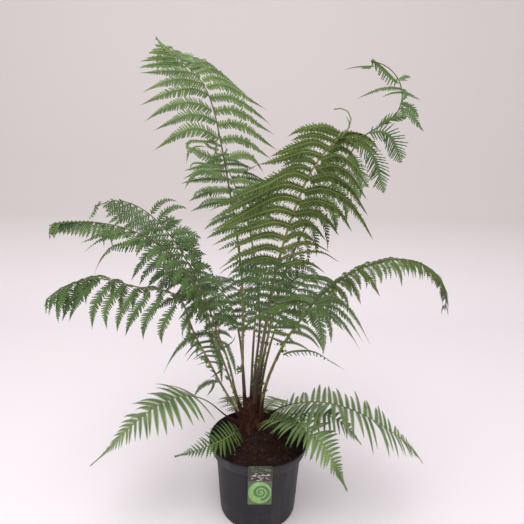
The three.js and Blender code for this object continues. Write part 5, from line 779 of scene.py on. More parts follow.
        {"line": [[96.4, -235.0, 713.6], [69.0, -213.3, 712.3], [42.9, -191.7, 703.8], [13.6, -170.0, 685.0]], "half": 10, "fine": 5.2, "open": 0.44, "wing": 0.3, "body": 0.3, "foot": 0.8},
        {"line": [[84.8, -185.0, 671.4], [55.2, -166.7, 668.8], [24.8, -148.3, 661.1], [-1.8, -130.0, 661.4]], "half": 8, "kind": "strip", "tooth": 6, "cut": 0.35},
        {"line": [[77.7, -165.0, 652.8], [49.9, -148.3, 645.5], [23.6, -131.7, 638.3], [4.1, -115.0, 636.6]], "half": 7, "kind": "strip", "tooth": 6, "cut": 0.35},
        {"line": [[67.1, -130.0, 616.5], [37.5, -116.7, 615.9], [12.6, -103.3, 615.4], [-7.7, -90.0, 609.6]], "half": 7, "kind": "strip", "tooth": 6, "cut": 0.35},
        {"line": [[57.7, -98.0, 580.1], [34.9, -84.0, 584.9], [14.3, -70.0, 587.0]], "half": 6, "kind": "strip", "tooth": 6, "cut": 0.35},
        {"line": [[83.2, -180.0, 664.2], [104.3, -186.3, 659.3], [123.3, -192.5, 644.2], [138.0, -198.7, 621.4], [145.3, -205.0, 601.2]], "half": 8, "kind": "strip", "tooth": 6, "cut": 0.35},
        {"line": [[74.7, -150.0, 635.9], [99.0, -156.7, 631.1], [120.8, -163.3, 621.0], [140.8, -170.0, 597.7]], "half": 8, "kind": "strip", "tooth": 6, "cut": 0.35},
        {"line": [[62.2, -105.0, 586.1], [84.9, -111.7, 586.6], [107.7, -118.3, 578.7], [122.7, -125.0, 570.9]], "half": 6, "kind": "strip", "tooth": 6, "cut": 0.35},
        {"line": [[58.0, -75.0, 535.0], [75.6, -83.3, 547.8], [101.0, -91.7, 554.9], [126.2, -100.0, 559.1], [148.8, -108.3, 554.7], [177.1, -116.7, 539.3], [215.9, -125.0, 518.3]], "half": 21, "fine": 11, "open": 0.2, "lean": 4, "lean_more": 20, "body": 0.35, "foot": 0.7, "belly": 1.0, "taper": 1.7, "wing": 0.16, "sides": [0.12, 1.0], "merge": 0.72, "face": [0, -0.95, 0.2]},
        {"line": [[106.1, -285.0, 755.7], [136.2, -281.3, 766.0], [172.2, -277.5, 751.5], [203.9, -273.7, 713.4], [235.6, -270.0, 657.5]], "half": 9, "fine": 5, "open": 0.42, "wing": 0.3, "body": 0.3, "taper": 1.6, "brown": False},
        {"line": [[106.3, -300.0, 756.6], [136.2, -297.5, 758.3], [170.0, -295.0, 735.2], [191.7, -292.5, 707.0], [214.4, -290.0, 671.1]], "half": 9, "fine": 5, "open": 0.42, "wing": 0.3, "body": 0.3, "taper": 1.6},
        {"line": [[105.6, -320.0, 759.6], [133.4, -317.5, 752.4], [162.7, -315.0, 725.0], [184.2, -312.5, 694.7], [204.2, -310.0, 661.5]], "half": 9, "fine": 5, "open": 0.42, "wing": 0.3, "body": 0.25, "taper": 1.8},
        {"line": [[106.3, -330.0, 761.1], [125.2, -330.0, 752.6], [147.0, -330.0, 733.1], [162.7, -330.0, 713.3]], "half": 9, "fine": 5, "open": 0.42, "wing": 0.3, "body": 0.3},
        {"line": [[106.2, -345.0, 762.5], [122.3, -350.0, 749.6], [131.0, -355.0, 725.8], [131.8, -360.0, 697.5]], "half": 8, "fine": 5, "open": 0.42, "wing": 0.3, "body": 0.3},
        {"line": [[97.8, -330.0, 767.5], [104.2, -347.5, 754.8], [109.1, -365.0, 729.8], [111.6, -382.5, 711.9], [111.8, -400.0, 696.7]], "half": 13, "fine": 5.4, "open": 0.44, "wing": 0.1, "body": 0.35, "merge": 0.85, "costa": 0.5, "shingle": 2},
        {"line": [[97.9, -300.0, 754.3], [93.2, -310.0, 740.2], [98.9, -320.0, 726.3], [108.6, -330.0, 715.0]], "half": 9, "fine": 5, "open": 0.44, "wing": 0.3, "body": 0.3},
        {"line": [[98.0, -270.0, 738.6], [84.2, -280.0, 730.7], [75.1, -290.0, 716.2]], "half": 8, "fine": 5, "open": 0.44, "wing": 0.3, "body": 0.3},
        {"line": [[114.4, -270.0, 759.5], [141.2, -263.3, 764.4], [169.4, -256.7, 753.2], [185.3, -250.0, 732.2]], "half": 9, "fine": 5, "open": 0.44, "wing": 0.3, "body": 0.3},
    ],
    "frond_arch_right": [
        {"line": [[193.7, 26.0, 694.5], [217.7, 17.3, 688.8], [234.1, 8.7, 668.6], [242.9, 0.0, 636.6]], "half": 11, "fine": 5.6, "open": 0.42, "wing": 0.3, "body": 0.3},
        {"line": [[220.9, 29.0, 717.2], [244.5, 19.3, 711.8], [260.6, 9.7, 691.9], [275.3, 0.0, 651.6]], "half": 12, "fine": 5.6, "open": 0.42, "wing": 0.3, "body": 0.3},
        {"line": [[265.0, 34.0, 742.5], [288.6, 24.3, 734.0], [307.6, 14.7, 711.2], [327.7, 5.0, 673.9]], "half": 12, "fine": 5.6, "open": 0.42, "wing": 0.3, "body": 0.3},
        {"line": [[364.1, 45.0, 766.9], [380.8, 39.3, 751.3], [389.9, 33.7, 726.8], [393.9, 28.0, 696.4]], "half": 9, "fine": 5.2, "open": 0.42, "wing": 0.3, "body": 0.3},
        {"line": [[394.3, 52.0, 768.4], [405.1, 46.0, 755.6], [413.8, 40.0, 734.0]], "half": 7, "fine": 4.8, "open": 0.44, "wing": 0.3, "face": [-0.1, -0.95, 0.2]},
        {"line": [[414.5, 52.0, 765.7], [425.2, 46.0, 752.9], [433.9, 40.0, 731.4]], "half": 7, "fine": 4.8, "open": 0.44, "wing": 0.3, "face": [-0.1, -0.95, 0.2]},
        {"line": [[434.8, 52.0, 761.6], [445.5, 46.0, 748.8], [454.2, 40.0, 727.2]], "half": 7, "fine": 4.8, "open": 0.44, "wing": 0.3, "face": [-0.1, -0.95, 0.2]},
        {"line": [[455.4, 52.0, 754.6], [466.1, 46.0, 741.8], [474.9, 40.0, 720.2]], "half": 7, "fine": 4.8, "open": 0.44, "wing": 0.3, "face": [-0.1, -0.95, 0.2]},
        {"line": [[476.7, 52.0, 743.2], [487.3, 46.0, 730.3], [496.1, 40.0, 708.6]], "half": 7, "fine": 4.8, "open": 0.44, "wing": 0.3, "face": [-0.1, -0.95, 0.2]},
        {"line": [[495.5, 52.0, 728.7], [506.2, 46.0, 715.8], [515.0, 40.0, 694.0]], "half": 7, "fine": 4.8, "open": 0.44, "wing": 0.3, "face": [-0.1, -0.95, 0.2]},
        {"line": [[169.1, 22.6, 673.0], [175.0, 18.6, 683.2], [180.9, 14.6, 686.6]], "half": 5, "kind": "strip", "tooth": 4},
        {"line": [[179.6, 23.2, 682.6], [185.7, 19.2, 692.8], [192.1, 15.2, 696.2]], "half": 5, "kind": "strip", "tooth": 4},
        {"line": [[190.1, 23.8, 692.2], [196.1, 19.8, 702.3], [202.8, 15.8, 705.4]], "half": 5, "kind": "strip", "tooth": 4},
        {"line": [[200.8, 25.1, 699.8], [207.3, 21.1, 710.2], [214.2, 17.1, 713.3]], "half": 5, "kind": "strip", "tooth": 4},
        {"line": [[211.6, 26.6, 706.8], [217.3, 22.6, 715.9], [223.4, 18.6, 718.4]], "half": 5, "kind": "strip", "tooth": 4},
        {"line": [[222.3, 28.1, 714.0], [228.5, 24.1, 723.2], [235.1, 20.1, 725.6]], "half": 5, "kind": "strip", "tooth": 4},
        {"line": [[233.1, 29.7, 721.0], [236.2, 25.7, 726.3], [239.7, 21.7, 728.1]], "half": 5, "kind": "strip", "tooth": 4},
        {"line": [[243.8, 31.2, 727.9], [248.4, 27.2, 734.7], [253.1, 23.2, 736.5]], "half": 5, "kind": "strip", "tooth": 4},
        {"line": [[254.6, 32.7, 734.9], [260.5, 28.7, 742.8], [267.0, 24.7, 744.6]], "half": 5, "kind": "strip", "tooth": 4},
        {"line": [[265.4, 34.3, 741.8], [270.2, 30.3, 748.5], [275.6, 26.3, 750.0]], "half": 5, "kind": "strip", "tooth": 4},
        {"line": [[276.2, 35.6, 746.8], [281.8, 31.6, 753.8], [288.0, 27.6, 755.3]], "half": 5, "kind": "strip", "tooth": 4},
        {"line": [[287.2, 36.9, 749.8], [290.2, 32.9, 754.4], [293.6, 28.9, 755.5]], "half": 5, "kind": "strip", "tooth": 4},
        {"line": [[298.2, 38.2, 752.8], [302.2, 34.2, 758.0], [306.7, 30.2, 759.1]], "half": 5, "kind": "strip", "tooth": 4},
        {"line": [[309.2, 39.4, 756.1], [312.7, 35.4, 760.4], [316.1, 31.4, 761.2]], "half": 5, "kind": "strip", "tooth": 4},
        {"line": [[320.3, 40.7, 759.0], [324.5, 36.7, 763.9], [329.0, 32.7, 764.5]], "half": 5, "kind": "strip", "tooth": 4},
        {"line": [[331.3, 41.9, 762.0], [335.5, 37.9, 766.6], [340.0, 33.9, 767.2]], "half": 5, "kind": "strip", "tooth": 4},
        {"line": [[342.3, 43.2, 765.3], [344.7, 39.2, 768.4], [347.2, 35.2, 769.0]], "half": 5, "kind": "strip", "tooth": 4},
        {"line": [[353.4, 44.5, 768.3], [356.2, 40.5, 771.7], [359.6, 36.5, 772.2]], "half": 5, "kind": "strip", "tooth": 4},
        {"line": [[364.7, 45.7, 769.0], [367.8, 41.7, 772.1], [370.8, 37.7, 772.7]], "half": 5, "kind": "strip", "tooth": 4},
        {"line": [[376.1, 46.8, 767.7], [380.8, 42.8, 771.7], [386.1, 38.8, 771.4]], "half": 5, "kind": "strip", "tooth": 4},
        {"line": [[387.6, 48.0, 766.4], [391.8, 44.0, 769.9], [396.5, 40.0, 769.5]], "half": 5, "kind": "strip", "tooth": 4},
        {"line": [[399.2, 49.2, 765.1], [401.7, 45.2, 767.6], [404.4, 41.2, 767.6]], "half": 5, "kind": "strip", "tooth": 4},
        {"line": [[410.7, 50.3, 763.8], [414.8, 46.3, 767.0], [419.2, 42.3, 766.3]], "half": 5, "kind": "strip", "tooth": 4},
        {"line": [[422.3, 51.5, 762.5], [424.5, 47.5, 764.7], [426.8, 43.5, 764.7]], "half": 5, "kind": "strip", "tooth": 4},
        {"line": [[433.9, 52.7, 761.2], [437.4, 48.7, 763.7], [441.0, 44.7, 763.1]], "half": 5, "kind": "strip", "tooth": 4},
        {"line": [[445.5, 53.9, 760.1], [447.7, 49.9, 761.8], [449.8, 45.9, 761.5]], "half": 5, "kind": "strip", "tooth": 4},
        {"line": [[458.0, 55.0, 750.6], [459.6, 51.0, 752.3], [461.4, 47.0, 752.3]], "half": 5, "kind": "strip", "tooth": 4},
        {"line": [[470.7, 56.1, 740.2], [474.5, 52.1, 741.9], [478.9, 48.1, 740.8]], "half": 5, "kind": "strip", "tooth": 4},
        {"line": [[483.5, 57.2, 729.6], [485.6, 53.2, 731.1], [487.6, 49.2, 730.6]], "half": 5, "kind": "strip", "tooth": 4},
        {"line": [[496.3, 58.3, 718.8], [498.4, 54.3, 720.3], [500.4, 50.3, 719.7]], "half": 5, "kind": "strip", "tooth": 4},
    ],
}

costa_green, costa_pale = Bin(), Bin()
ribs, ribs_brown, ribs_olive, stalks, stalk_feet, stalks_light = Bin(), Bin(), Bin(), Bin(), Bin(), Bin()
hairs = Bin()
SHADE_WEBS = {"green": Bin(), "olive": Bin()}
leaf_total = 0
made_fronds = []
for f in FRONDS:
    dress = DRESS[f["name"]]
    leaf, shade = Bin(), Bin()
    fr, count = dress_frond(f, dress, leaf, costa_pale if dress.get("pale") else costa_green, ribs_olive, shade, costa_green)
    nodes = [f["name"] + "_" + p for p in f["parts"]]
    build("leaflets_" + f["name"][6:], leaf, LEAF[dress["leaf"]], smooth=False, replaces=nodes)
    if shade.tris():
        build("leaflets_low_" + f["name"][6:], shade, LEAF[dress["shade"][1]], smooth=False, replaces=nodes)
    leaf_total += leaf.tris() + shade.tris()
    made_fronds.append(fr)
    # the rib, in stretches from dark foot to green tip
    stout = f["stout"]
    stalk_to = stalks_light if dress.get("light_stalk") else stalks
    cuts = [(0.0, dress.get("dark_foot", 0.11), stalk_feet), (dress.get("dark_foot", 0.11), 0.36, stalk_to), (0.36, 1.0, {"brown": ribs_brown, "olive": ribs_olive, "green": costa_green}.get(dress.get("rib"), ribs))]
    if dress.get("brown_rib"):
        cuts[-1] = (0.36, 0.56, ribs_olive)
        cuts += [(0.56, 0.89, ribs_brown), (0.89, 1.0, ribs)]
    if f["young"]:
        cuts = [(0.0, 0.2, stalk_feet), (0.2, 1.0, ribs)]
    for a, b, target in cuts:
        k = max(6, int((b - a) * 70))
        ss = np.linspace(a, b, k)
        P, T, S, N = fr.at(ss)
        rad = (RIB_FOOT * stout * (1 - ss) + RIB_TIP * ss) * (0.86 if not f["young"] else 0.75)
        rad = rad * (1 + 0.35 * np.exp(-ss * f["length"] / 45.0))
        rad = rad * (1 - dress.get("slim_tip", 0.0) * np.clip((ss - 0.5) / 0.2, 0, 1))
        tubes(target, P[None], S[None], N[None], rad[None], 9)

# the dark sheets under the pinnules: painted shade
build("leaf_webs_green_painted_shade", SHADE_WEBS["green"], M_WEB_PAINTED_SHADE, smooth=False)
build("leaf_webs_olive_painted_shade", SHADE_WEBS["olive"], M_WEB_OLIVE_PAINTED_SHADE, smooth=False)
build("costas_green", costa_green, M_COSTA)
build("costas_pale", costa_pale, M_COSTA_PALE)
build("ribs_green", ribs, M_RIB)
build("ribs_brown", ribs_brown, M_RIB_BROWN)
build("ribs_olive", ribs_olive, M_RIB_OLIVE)
build("stalks", stalks, M_STALK)
build("stalks_light", stalks_light, M_STALK_LIGHT)
build("stalk_feet", stalk_feet, M_STALK_DARK)
print("leaf triangles", leaf_total)

# ------------------------------------------------------------------ pot
def wall_r(z):
    return POT_BASE_R + (POT_RIM_R - POT_RIM_STEP - POT_BASE_R) * z / POT_H


def lathe(bin_, profile, sides, wobble=None):
    """Turn a profile of (radius, height) about Z; each profile point becomes a ring of points."""
    prof = np.array(profile, float)
    ang = np.arange(sides) / sides * 2 * math.pi
    v = np.stack(
        [
            prof[:, None, 0] * np.cos(ang)[None],
            prof[:, None, 0] * np.sin(ang)[None],
            np.repeat(prof[:, 1:2], sides, 1),
        ],
        -1,
    )
    if wobble is not None:
        v = wobble(v)
    bin_.add(v.reshape(-1, 3), grid_faces(len(prof), sides, True))


def rounded(points, radius, steps=4):
    """A profile with its inner corners rounded."""
    pts = [np.array(p[:2], float) for p in points]
    out = [pts[0]]
    for i in range(1, len(pts) - 1):
        a, b, c = pts[i - 1], pts[i], pts[i + 1]
        r = points[i][2] if len(points[i]) > 2 else radius
        u, v = unit(a - b), unit(c - b)
        r = min(r, 0.45 * np.linalg.norm(a - b), 0.45 * np.linalg.norm(c - b))
        for t in np.linspace(0, 1, steps):
            p0, p1 = b + u * r, b + v * r
            out.append((1 - t) ** 2 * p0 + 2 * t * (1 - t) * b + t * t * p1)
    out.append(pts[-1])
    return out


rim_z = POT_H - POT_RIM_DEEP
profile = [
    (0.05, 3.2), (62, 3.2, 1), (64, 1.2, 1), (92, 1.2, 1), (94, 0.0, 1), (POT_BASE_R - 1.5, 0.0, 14),
    (wall_r(13.0), 13.0, 10), (wall_r(56), 56, 1), (wall_r(56) + 0.5, 57, 0.5), (wall_r(59) + 0.5, 59, 0.5), (wall_r(60), 60, 1),
    (wall_r(rim_z - 42), rim_z - 42, 1), (wall_r(rim_z - 41) + 0.35, rim_z - 41, 0.5), (wall_r(rim_z), rim_z - 3.0, 2.5),
    (POT_RIM_LOW_R - 0.6, rim_z + 0.3, 2.2), (POT_RIM_LOW_R + 3.4, rim_z + 14, 8), (POT_RIM_R, POT_H - 2.2, 2), (POT_RIM_R - 1.3, POT_H - 0.05, 1.6),
    (POT_LIP_R + 0.8, POT_H, 1.2), (POT_LIP_R, POT_H - 2.0, 1.5), (POT_RIM_LOW_R - 2.5, rim_z + 3, 3), (wall_r(rim_z) - 2.4, rim_z - 1.5, 2),
    (wall_r(SOIL_TOP - 36) - 2.4, SOIL_TOP - 36),
]
pot_bin = Bin()
lathe(pot_bin, rounded(profile, 1.0), 180)


def pot_scuffs(nt, tc, colour):
    """Pale dust in patches and faint run marks down the wall."""
    sep = nt.nodes.new("ShaderNodeSeparateXYZ")
    nt.links.new(tc.outputs["Object"], sep.inputs[0])
    mp = nt.nodes.new("ShaderNodeMapping")
    mp.inputs["Scale"].default_value = (26, 26, 2.2)
    nt.links.new(tc.outputs["Object"], mp.inputs["Vector"])
    n = nt.nodes.new("ShaderNodeTexNoise")
    n.inputs["Scale"].default_value = 1.0
    n.inputs["Detail"].default_value = 5.0
    n.inputs["Roughness"].default_value = 0.62
    nt.links.new(mp.outputs[0], n.inputs["Vector"])
    r = nt.nodes.new("ShaderNodeMapRange")
    r.inputs["From Min"].default_value = 0.5
    r.inputs["From Max"].default_value = 0.8
    r.inputs["To Max"].default_value = 0.22
    nt.links.new(n.outputs["Fac"], r.inputs["Value"])
    mix = nt.nodes.new("ShaderNodeMix")
    mix.data_type = "RGBA"
    mix.inputs["B"].default_value = (*srgb("#6a6462"), 1)
    nt.links.new(r.outputs["Result"], mix.inputs["Factor"])
    nt.links.new(colour, mix.inputs["A"])
    return mix.outputs["Result"]


M_POT = material("pot_plastic", [srgb("#1c1a21"), srgb("#24212a")], 0.5, 0.08, scale=7, fine=300, bump=0.22, bump_scale=900, bump_dist=0.0004, spec=0.28, extra=pot_scuffs)
build("pot_shell", pot_bin, M_POT, replaces=["pot"])


# ------------------------------------------------------------------ soil
def lumps(x, y, seed, scale):
    g = np.random.default_rng(seed)
    out = 0
    for k in range(14):
        a = g.uniform(0, 2 * math.pi)
        fr = g.uniform(0.6, 2.4) / scale
        out = out + np.sin(fr * (x * math.cos(a) + y * math.sin(a)) + g.uniform(0, 6.28)) / (0.6 + fr * scale)
    return out / 4


soil_bin = Bin()
R_SOIL = POT_RIM_LOW_R - 1.5
rows, cols = 46, 160
rr = np.linspace(0.001, 1, rows) ** 0.8 * R_SOIL
aa = np.arange(cols) / cols * 2 * math.pi
X, Y = rr[:, None] * np.cos(aa)[None], rr[:, None] * np.sin(aa)[None]
off_trunk = np.hypot(X - TRUNK_AT[0], Y - TRUNK_AT[1])
mound = np.interp(off_trunk, [0, 26, 42, 62, 84, 104], [SOIL_MOUND, SOIL_MOUND, 17, 8.5, 2.5, 0]) + np.interp(rr, [0, R_SOIL - 8, R_SOIL], [0, -1.0, -2.6])[:, None]
height = SOIL_TOP + mound + 1.5 * lumps(X, Y, 5, 14) + 1.3 * lumps(X, Y, 6, 5) + rng.normal(size=X.shape) * 0.45 - 1.2
height = np.minimum(height, SOIL_TOP + SOIL_MOUND)
soil_bin.add(np.stack([X, Y, height], -1).reshape(-1, 3), grid_faces(rows, cols, True))
skirt = np.stack([np.stack([R_SOIL * np.cos(aa), R_SOIL * np.sin(aa), height[-1]], -1), np.stack([R_SOIL * np.cos(aa), R_SOIL * np.sin(aa), 0 * aa + rim_z + 5], -1)])
soil_bin.add(skirt.reshape(-1, 3), grid_faces(2, cols, True))
M_SOIL = material("soil_dark", [srgb("#1d1311"), srgb("#2e1e1a"), srgb("#3b2620")], 0.92, scale=70, fine=600, bump=0.9, bump_scale=420, bump_dist=0.002, spec=0.2)
M_CRUMB_A = material("soil_crumb_dark", [srgb("#241815"), srgb("#33211c")], 0.9, scale=90, fine=600, bump=0.8, bump_dist=0.001, spec=0.2)
M_CRUMB_B = material("soil_crumb_red", [srgb("#4a2a20"), srgb("#5d3628")], 0.88, scale=90, fine=600, bump=0.8, bump_dist=0.001, spec=0.2)
M_CRUMB_C = material("soil_chip_tan", [srgb("#6b5038"), srgb("#8a6c4d")], 0.8, scale=90, fine=500, bump=0.6, bump_dist=0.001, spec=0.25)
M_PERLITE = material("perlite", [srgb("#cfcac2"), srgb("#e8e4dc")], 0.75, scale=120, fine=700, bump=0.8, bump_dist=0.0008, spec=0.3)
build("soil_bed", soil_bin, M_SOIL, smooth=False, replaces=["soil"])

OCTA = np.array([[1, 0, 0], [-1, 0, 0], [0, 1, 0], [0, -1, 0], [0, 0, 1], [0, 0, -1]], float)
OCTA_F = np.array([[0, 2, 4], [2, 1, 4], [1, 3, 4], [3, 0, 4], [2, 0, 5], [1, 2, 5], [3, 1, 5], [0, 3, 5]])


def crumbs(bin_, count, lo, hi, flat, reach=R_SOIL - 3):
    r = np.sqrt(rng.uniform(0.0, 1, count)) * reach
    a = rng.uniform(0, 2 * math.pi, count)
    x, y = r * np.cos(a), r * np.sin(a)
    col = (a / (2 * math.pi) * cols).astype(int) % cols
    row = np.clip(np.searchsorted(rr, r), 0, rows - 1)
    z = height[row, col]
    size = rng.uniform(lo, hi, (count, 1)) * rng.uniform(0.6, 1.3, (count, 3)) * np.array([1, 1, flat])
    v = OCTA[None] * size[:, None] * rng.uniform(0.75, 1.2, (count, 6, 1))
    ca, sa = np.cos(a * 7)[:, None], np.sin(a * 7)[:, None]
    tilt = rng.uniform(-0.6, 0.6, (count, 1))
    vx, vy, vz = v[..., 0], v[..., 1], v[..., 2]
    vx, vy = vx * ca - vy * sa, vx * sa + vy * ca
    vx, vz = vx * np.cos(tilt) - vz * np.sin(tilt), vx * np.sin(tilt) + vz * np.cos(tilt)
    z = z + size[:, 2] * 0.45
    bin_.copies(np.stack([vx + x[:, None], vy + y[:, None], vz + z[:, None]], -1), OCTA_F)


for name, mat, count, lo, hi, flat in (
    ("soil_crumbs_dark", M_CRUMB_A, 5200, 1.0, 3.2, 0.8),
    ("soil_crumbs_red", M_CRUMB_B, 1500, 0.8, 2.6, 0.8),
    ("soil_chips", M_CRUMB_C, 260, 0.9, 2.8, 0.35),
    ("perlite_grains", M_PERLITE, 46, 0.9, 1.9, 0.9),
):
    b = Bin()
    crumbs(b, count, lo, hi, flat)
    build(name, b, mat, smooth=False)


# ------------------------------------------------------------------ trunk
trunk_bin, stub_bin, hair_bin = Bin(), Bin(), Bin()
rows_t, cols_t = 150, 240
tt = np.linspace(0, 1, rows_t)
ang = np.arange(cols_t) / cols_t * 2 * math.pi


def trunk_radius(t, a):
    body = 19 + (37 - 19) * (1 - t) ** 1.35
    return body * (1 + 0.09 * np.cos(7 * a + 1.4 * t) * (1 - 0.5 * t))


def ridges(t, a):
    g = np.random.default_rng(77)
    out = 0 * a * t
    for k in range(26):
        n = int(g.integers(18, 95))
        out = out + np.sin(n * a + g.uniform(0, 6.3) + g.uniform(-7, 7) * t + 1.6 * np.sin(g.uniform(3, 16) * t + g.uniform(0, 6.3))) * g.uniform(0.3, 1)
    return out / 7


T, A = tt[:, None] * np.ones((1, cols_t)), ang[None] * np.ones((rows_t, 1))
TR = trunk_radius(T, A) + 0.6 * ridges(T, A) - 0.9 + rng.normal(size=T.shape) * 0.22
top_round = np.where(T > 0.9, np.cos((T - 0.9) / 0.1 * 1.1), 1.0)
TR = TR * top_round
z_low = SOIL_TOP + SOIL_MOUND - 7
TZ = z_low + (333 - z_low) * T
trunk_bin.add(np.stack([TR * np.cos(A), TR * np.sin(A), TZ], -1).reshape(-1, 3), grid_faces(rows_t, cols_t, True))
top = (rows_t - 1) * cols_t
centre = trunk_bin.n
trunk_bin.add([[0, 0, 333.4]], np.zeros((0, 3), int))
trunk_bin.f.append(np.stack([top + np.arange(cols_t), top + (np.arange(cols_t) + 1) % cols_t, np.full(cols_t, centre)], 1))
trunk_bin.shift(TRUNK_AT)
build("trunk_bark", trunk_bin, M_TRUNK, smooth=True, replaces=["trunk"])


def strands(bin_, count, length, thick, stand, spread, seed, low=0.02, high=0.95):
    g = np.random.default_rng(seed)
    a0, t0 = g.uniform(0, 2 * math.pi, count), g.uniform(low, high, count)
    L = g.uniform(0.5, 1.3, count) * length / 110.0
    k = 7
    u = np.linspace(0, 1, k)[None]
    t = np.clip(t0[:, None] + (u - 0.4) * L[:, None], 0.0, 1.0)
    a = a0[:, None] + g.normal(size=(count, 1)) * spread * (u - 0.5) + 0.05 * np.sin(9 * u + g.uniform(0, 6, (count, 1)))
    r = trunk_radius(t, a) + 0.3 + stand * g.uniform(0.1, 1.0, (count, 1)) * (u * (1 - 0.2 * u)) ** 1.5
    c = np.stack([r * np.cos(a), r * np.sin(a), z_low + (333 - z_low) * t], -1)
    tan = unit(np.gradient(c, axis=1))
    rad = np.stack([np.cos(a), np.sin(a), 0 * a], -1)
    n1 = unit(rad - (rad * tan).sum(-1, keepdims=True) * tan)
    n2 = np.cross(tan, n1)
    w = thick * g.uniform(0.6, 1.5, (count, 1)) * np.minimum(1, 4.2 * (1.02 - u)) * np.minimum(1, 0.3 + 4 * u)
    tubes(bin_, c, n1, n2, np.broadcast_to(w, (count, k)).copy(), 4)


strands(hair_bin, 1500, 42, 0.42, 2.2, 0.25, 11)
hair_bin.shift(TRUNK_AT)
build("trunk_hairs", hair_bin, M_HAIR)
strands(stub_bin, 300, 58, 1.7, 2.0, 0.16, 12)
stub_bin.shift(TRUNK_AT)
build("trunk_fibres", stub_bin, M_TRUNK)

# old stalk stubs and the swollen, hairy feet of the fronds
foot_bin, foot_hair = Bin(), Bin()
g = np.random.default_rng(31)
ends = []
for fr in made_fronds:
    f = fr.f
    s = np.linspace(0, 0.05 if not f["young"] else 0.1, 9)
    P, Tn, S, N = fr.at(s)
    P = P - TRUNK_AT
    start = np.array([P[0, 0] * 0.75, P[0, 1] * 0.75, P[0, 2] - 38])
    path = np.concatenate([np.stack([start + (P[0] - start) * q for q in np.linspace(0, 0.8, 5)]), P])
    ends.append((path, 8.2 * f["stout"] if not f["young"] else 4.6))
for i in range(26):
    a = g.uniform(0, 2 * math.pi)
    z0 = g.uniform(252, 296)
    t = (z0 - z_low) / (333 - z_low)
    r0 = float(trunk_radius(t, a))
    out_ = g.uniform(4, 14)
    up_ = g.uniform(18, 40)
    q = np.linspace(0, 1, 9)
    path = np.stack([(r0 - 8 + out_ * q**1.4) * math.cos(a), (r0 - 8 + out_ * q**1.4) * math.sin(a), z0 - 14 + up_ * q], -1)
    ends.append((path, g.uniform(4.5, 7.5)))
for path, rad0 in ends:
    k = 16
    q = np.linspace(0, 1, len(path))
    qq = np.linspace(0, 1, k)
    c = np.stack([np.interp(qq, q, path[:, j]) for j in range(3)], -1)
    tan = unit(np.gradient(c, axis=0))
    ref = unit(np.cross(tan, [0.3, 0.2, 0.93]) + 1e-6)
    n2 = np.cross(tan, ref)
    rad = rad0 * (0.55 + 0.45 * np.sin(math.pi * np.clip(qq * 0.8 + 0.18, 0, 1)) ** 0.8) * (1 - 0.25 * qq)
    tubes(foot_bin, c[None], ref[None], n2[None], rad[None], 12)
    m = 90
    at = g.uniform(0.05, 0.95, m)
    an = g.uniform(0, 2 * math.pi, m)
    cc = np.stack([np.interp(at, qq, c[:, j]) for j in range(3)], -1)
    t3 = unit(np.stack([np.interp(at, qq, tan[:, j]) for j in range(3)], -1))
    r1 = unit(np.stack([np.interp(at, qq, ref[:, j]) for j in range(3)], -1))
    r2 = np.cross(t3, r1)
    radial = np.cos(an)[:, None] * r1 + np.sin(an)[:, None] * r2
    rad_at = np.interp(at, qq, rad)[:, None]
    ln = g.uniform(5, 15, (m, 1))
    u = np.linspace(0, 1, 4)[None, :, None]
    hair = cc[:, None] + radial[:, None] * (rad_at[:, None] * 0.95 + ln[:, None] * 0.35 * u**1.3) + t3[:, None] * ln[:, None] * u
    w = np.broadcast_to(0.3 * (1.05 - u[..., 0]), (m, 4)).copy()
    tn = unit(np.gradient(hair, axis=1))
    s1 = unit(np.cross(tn, radial[:, None] + 0 * tn) + 1e-6)
    tubes(foot_hair, hair, s1, np.cross(tn, s1), w, 3)
foot_bin.shift(TRUNK_AT)
build("stalk_bases", foot_bin, M_TRUNK)
foot_hair.shift(TRUNK_AT)
build("stalk_base_hairs", foot_hair, M_HAIR)


# ------------------------------------------------------------------ label
# a thin card with a printed face: pale green field, dark picture panel with a plain sprig
tilt = math.atan((147 - 113) / 237) * 0.8
off = 0.6 + (246 - 237 + 2) * math.sin(tilt)
HOLD = np.array([2.0, -(147 + off), 246.0])
ct, st = math.cos(tilt), math.sin(tilt)


def on_card(x, down, out=0.0):
    """Card coordinates to space: x across, down from the top edge, out in front of the face."""
    x, down, out = np.broadcast_arrays(np.asarray(x, float), np.asarray(down, float), np.asarray(out, float))
    bow = 0.9 * (x / 33.0) ** 2 - 0.9
    y0, z0 = -out - bow * 0.6 - 0.45, -down
    return np.stack([HOLD[0] + x, HOLD[1] + y0 * ct - z0 * st, HOLD[2] + y0 * st + z0 * ct], -1)


def card_outline(w, h, r, steps=6):
    pts = []
    for cx, cy, a0 in ((w / 2 - r, r, -90), (w / 2 - r, h - r, 0), (-w / 2 + r, h - r, 90), (-w / 2 + r, r, 180)):
        for i in range(steps):
            a = math.radians(a0 + 90 * i / (steps - 1))
            pts.append((cx + r * math.cos(a), cy + r * math.sin(a)))
    return np.array(pts)


def panel(bin_, x0, x1, d0, d1, out, nx=14, nd=14):
    x, d = np.meshgrid(np.linspace(x0, x1, nx), np.linspace(d0, d1, nd))
    bin_.add(on_card(x, d, out).reshape(-1, 3), grid_faces(nd, nx))


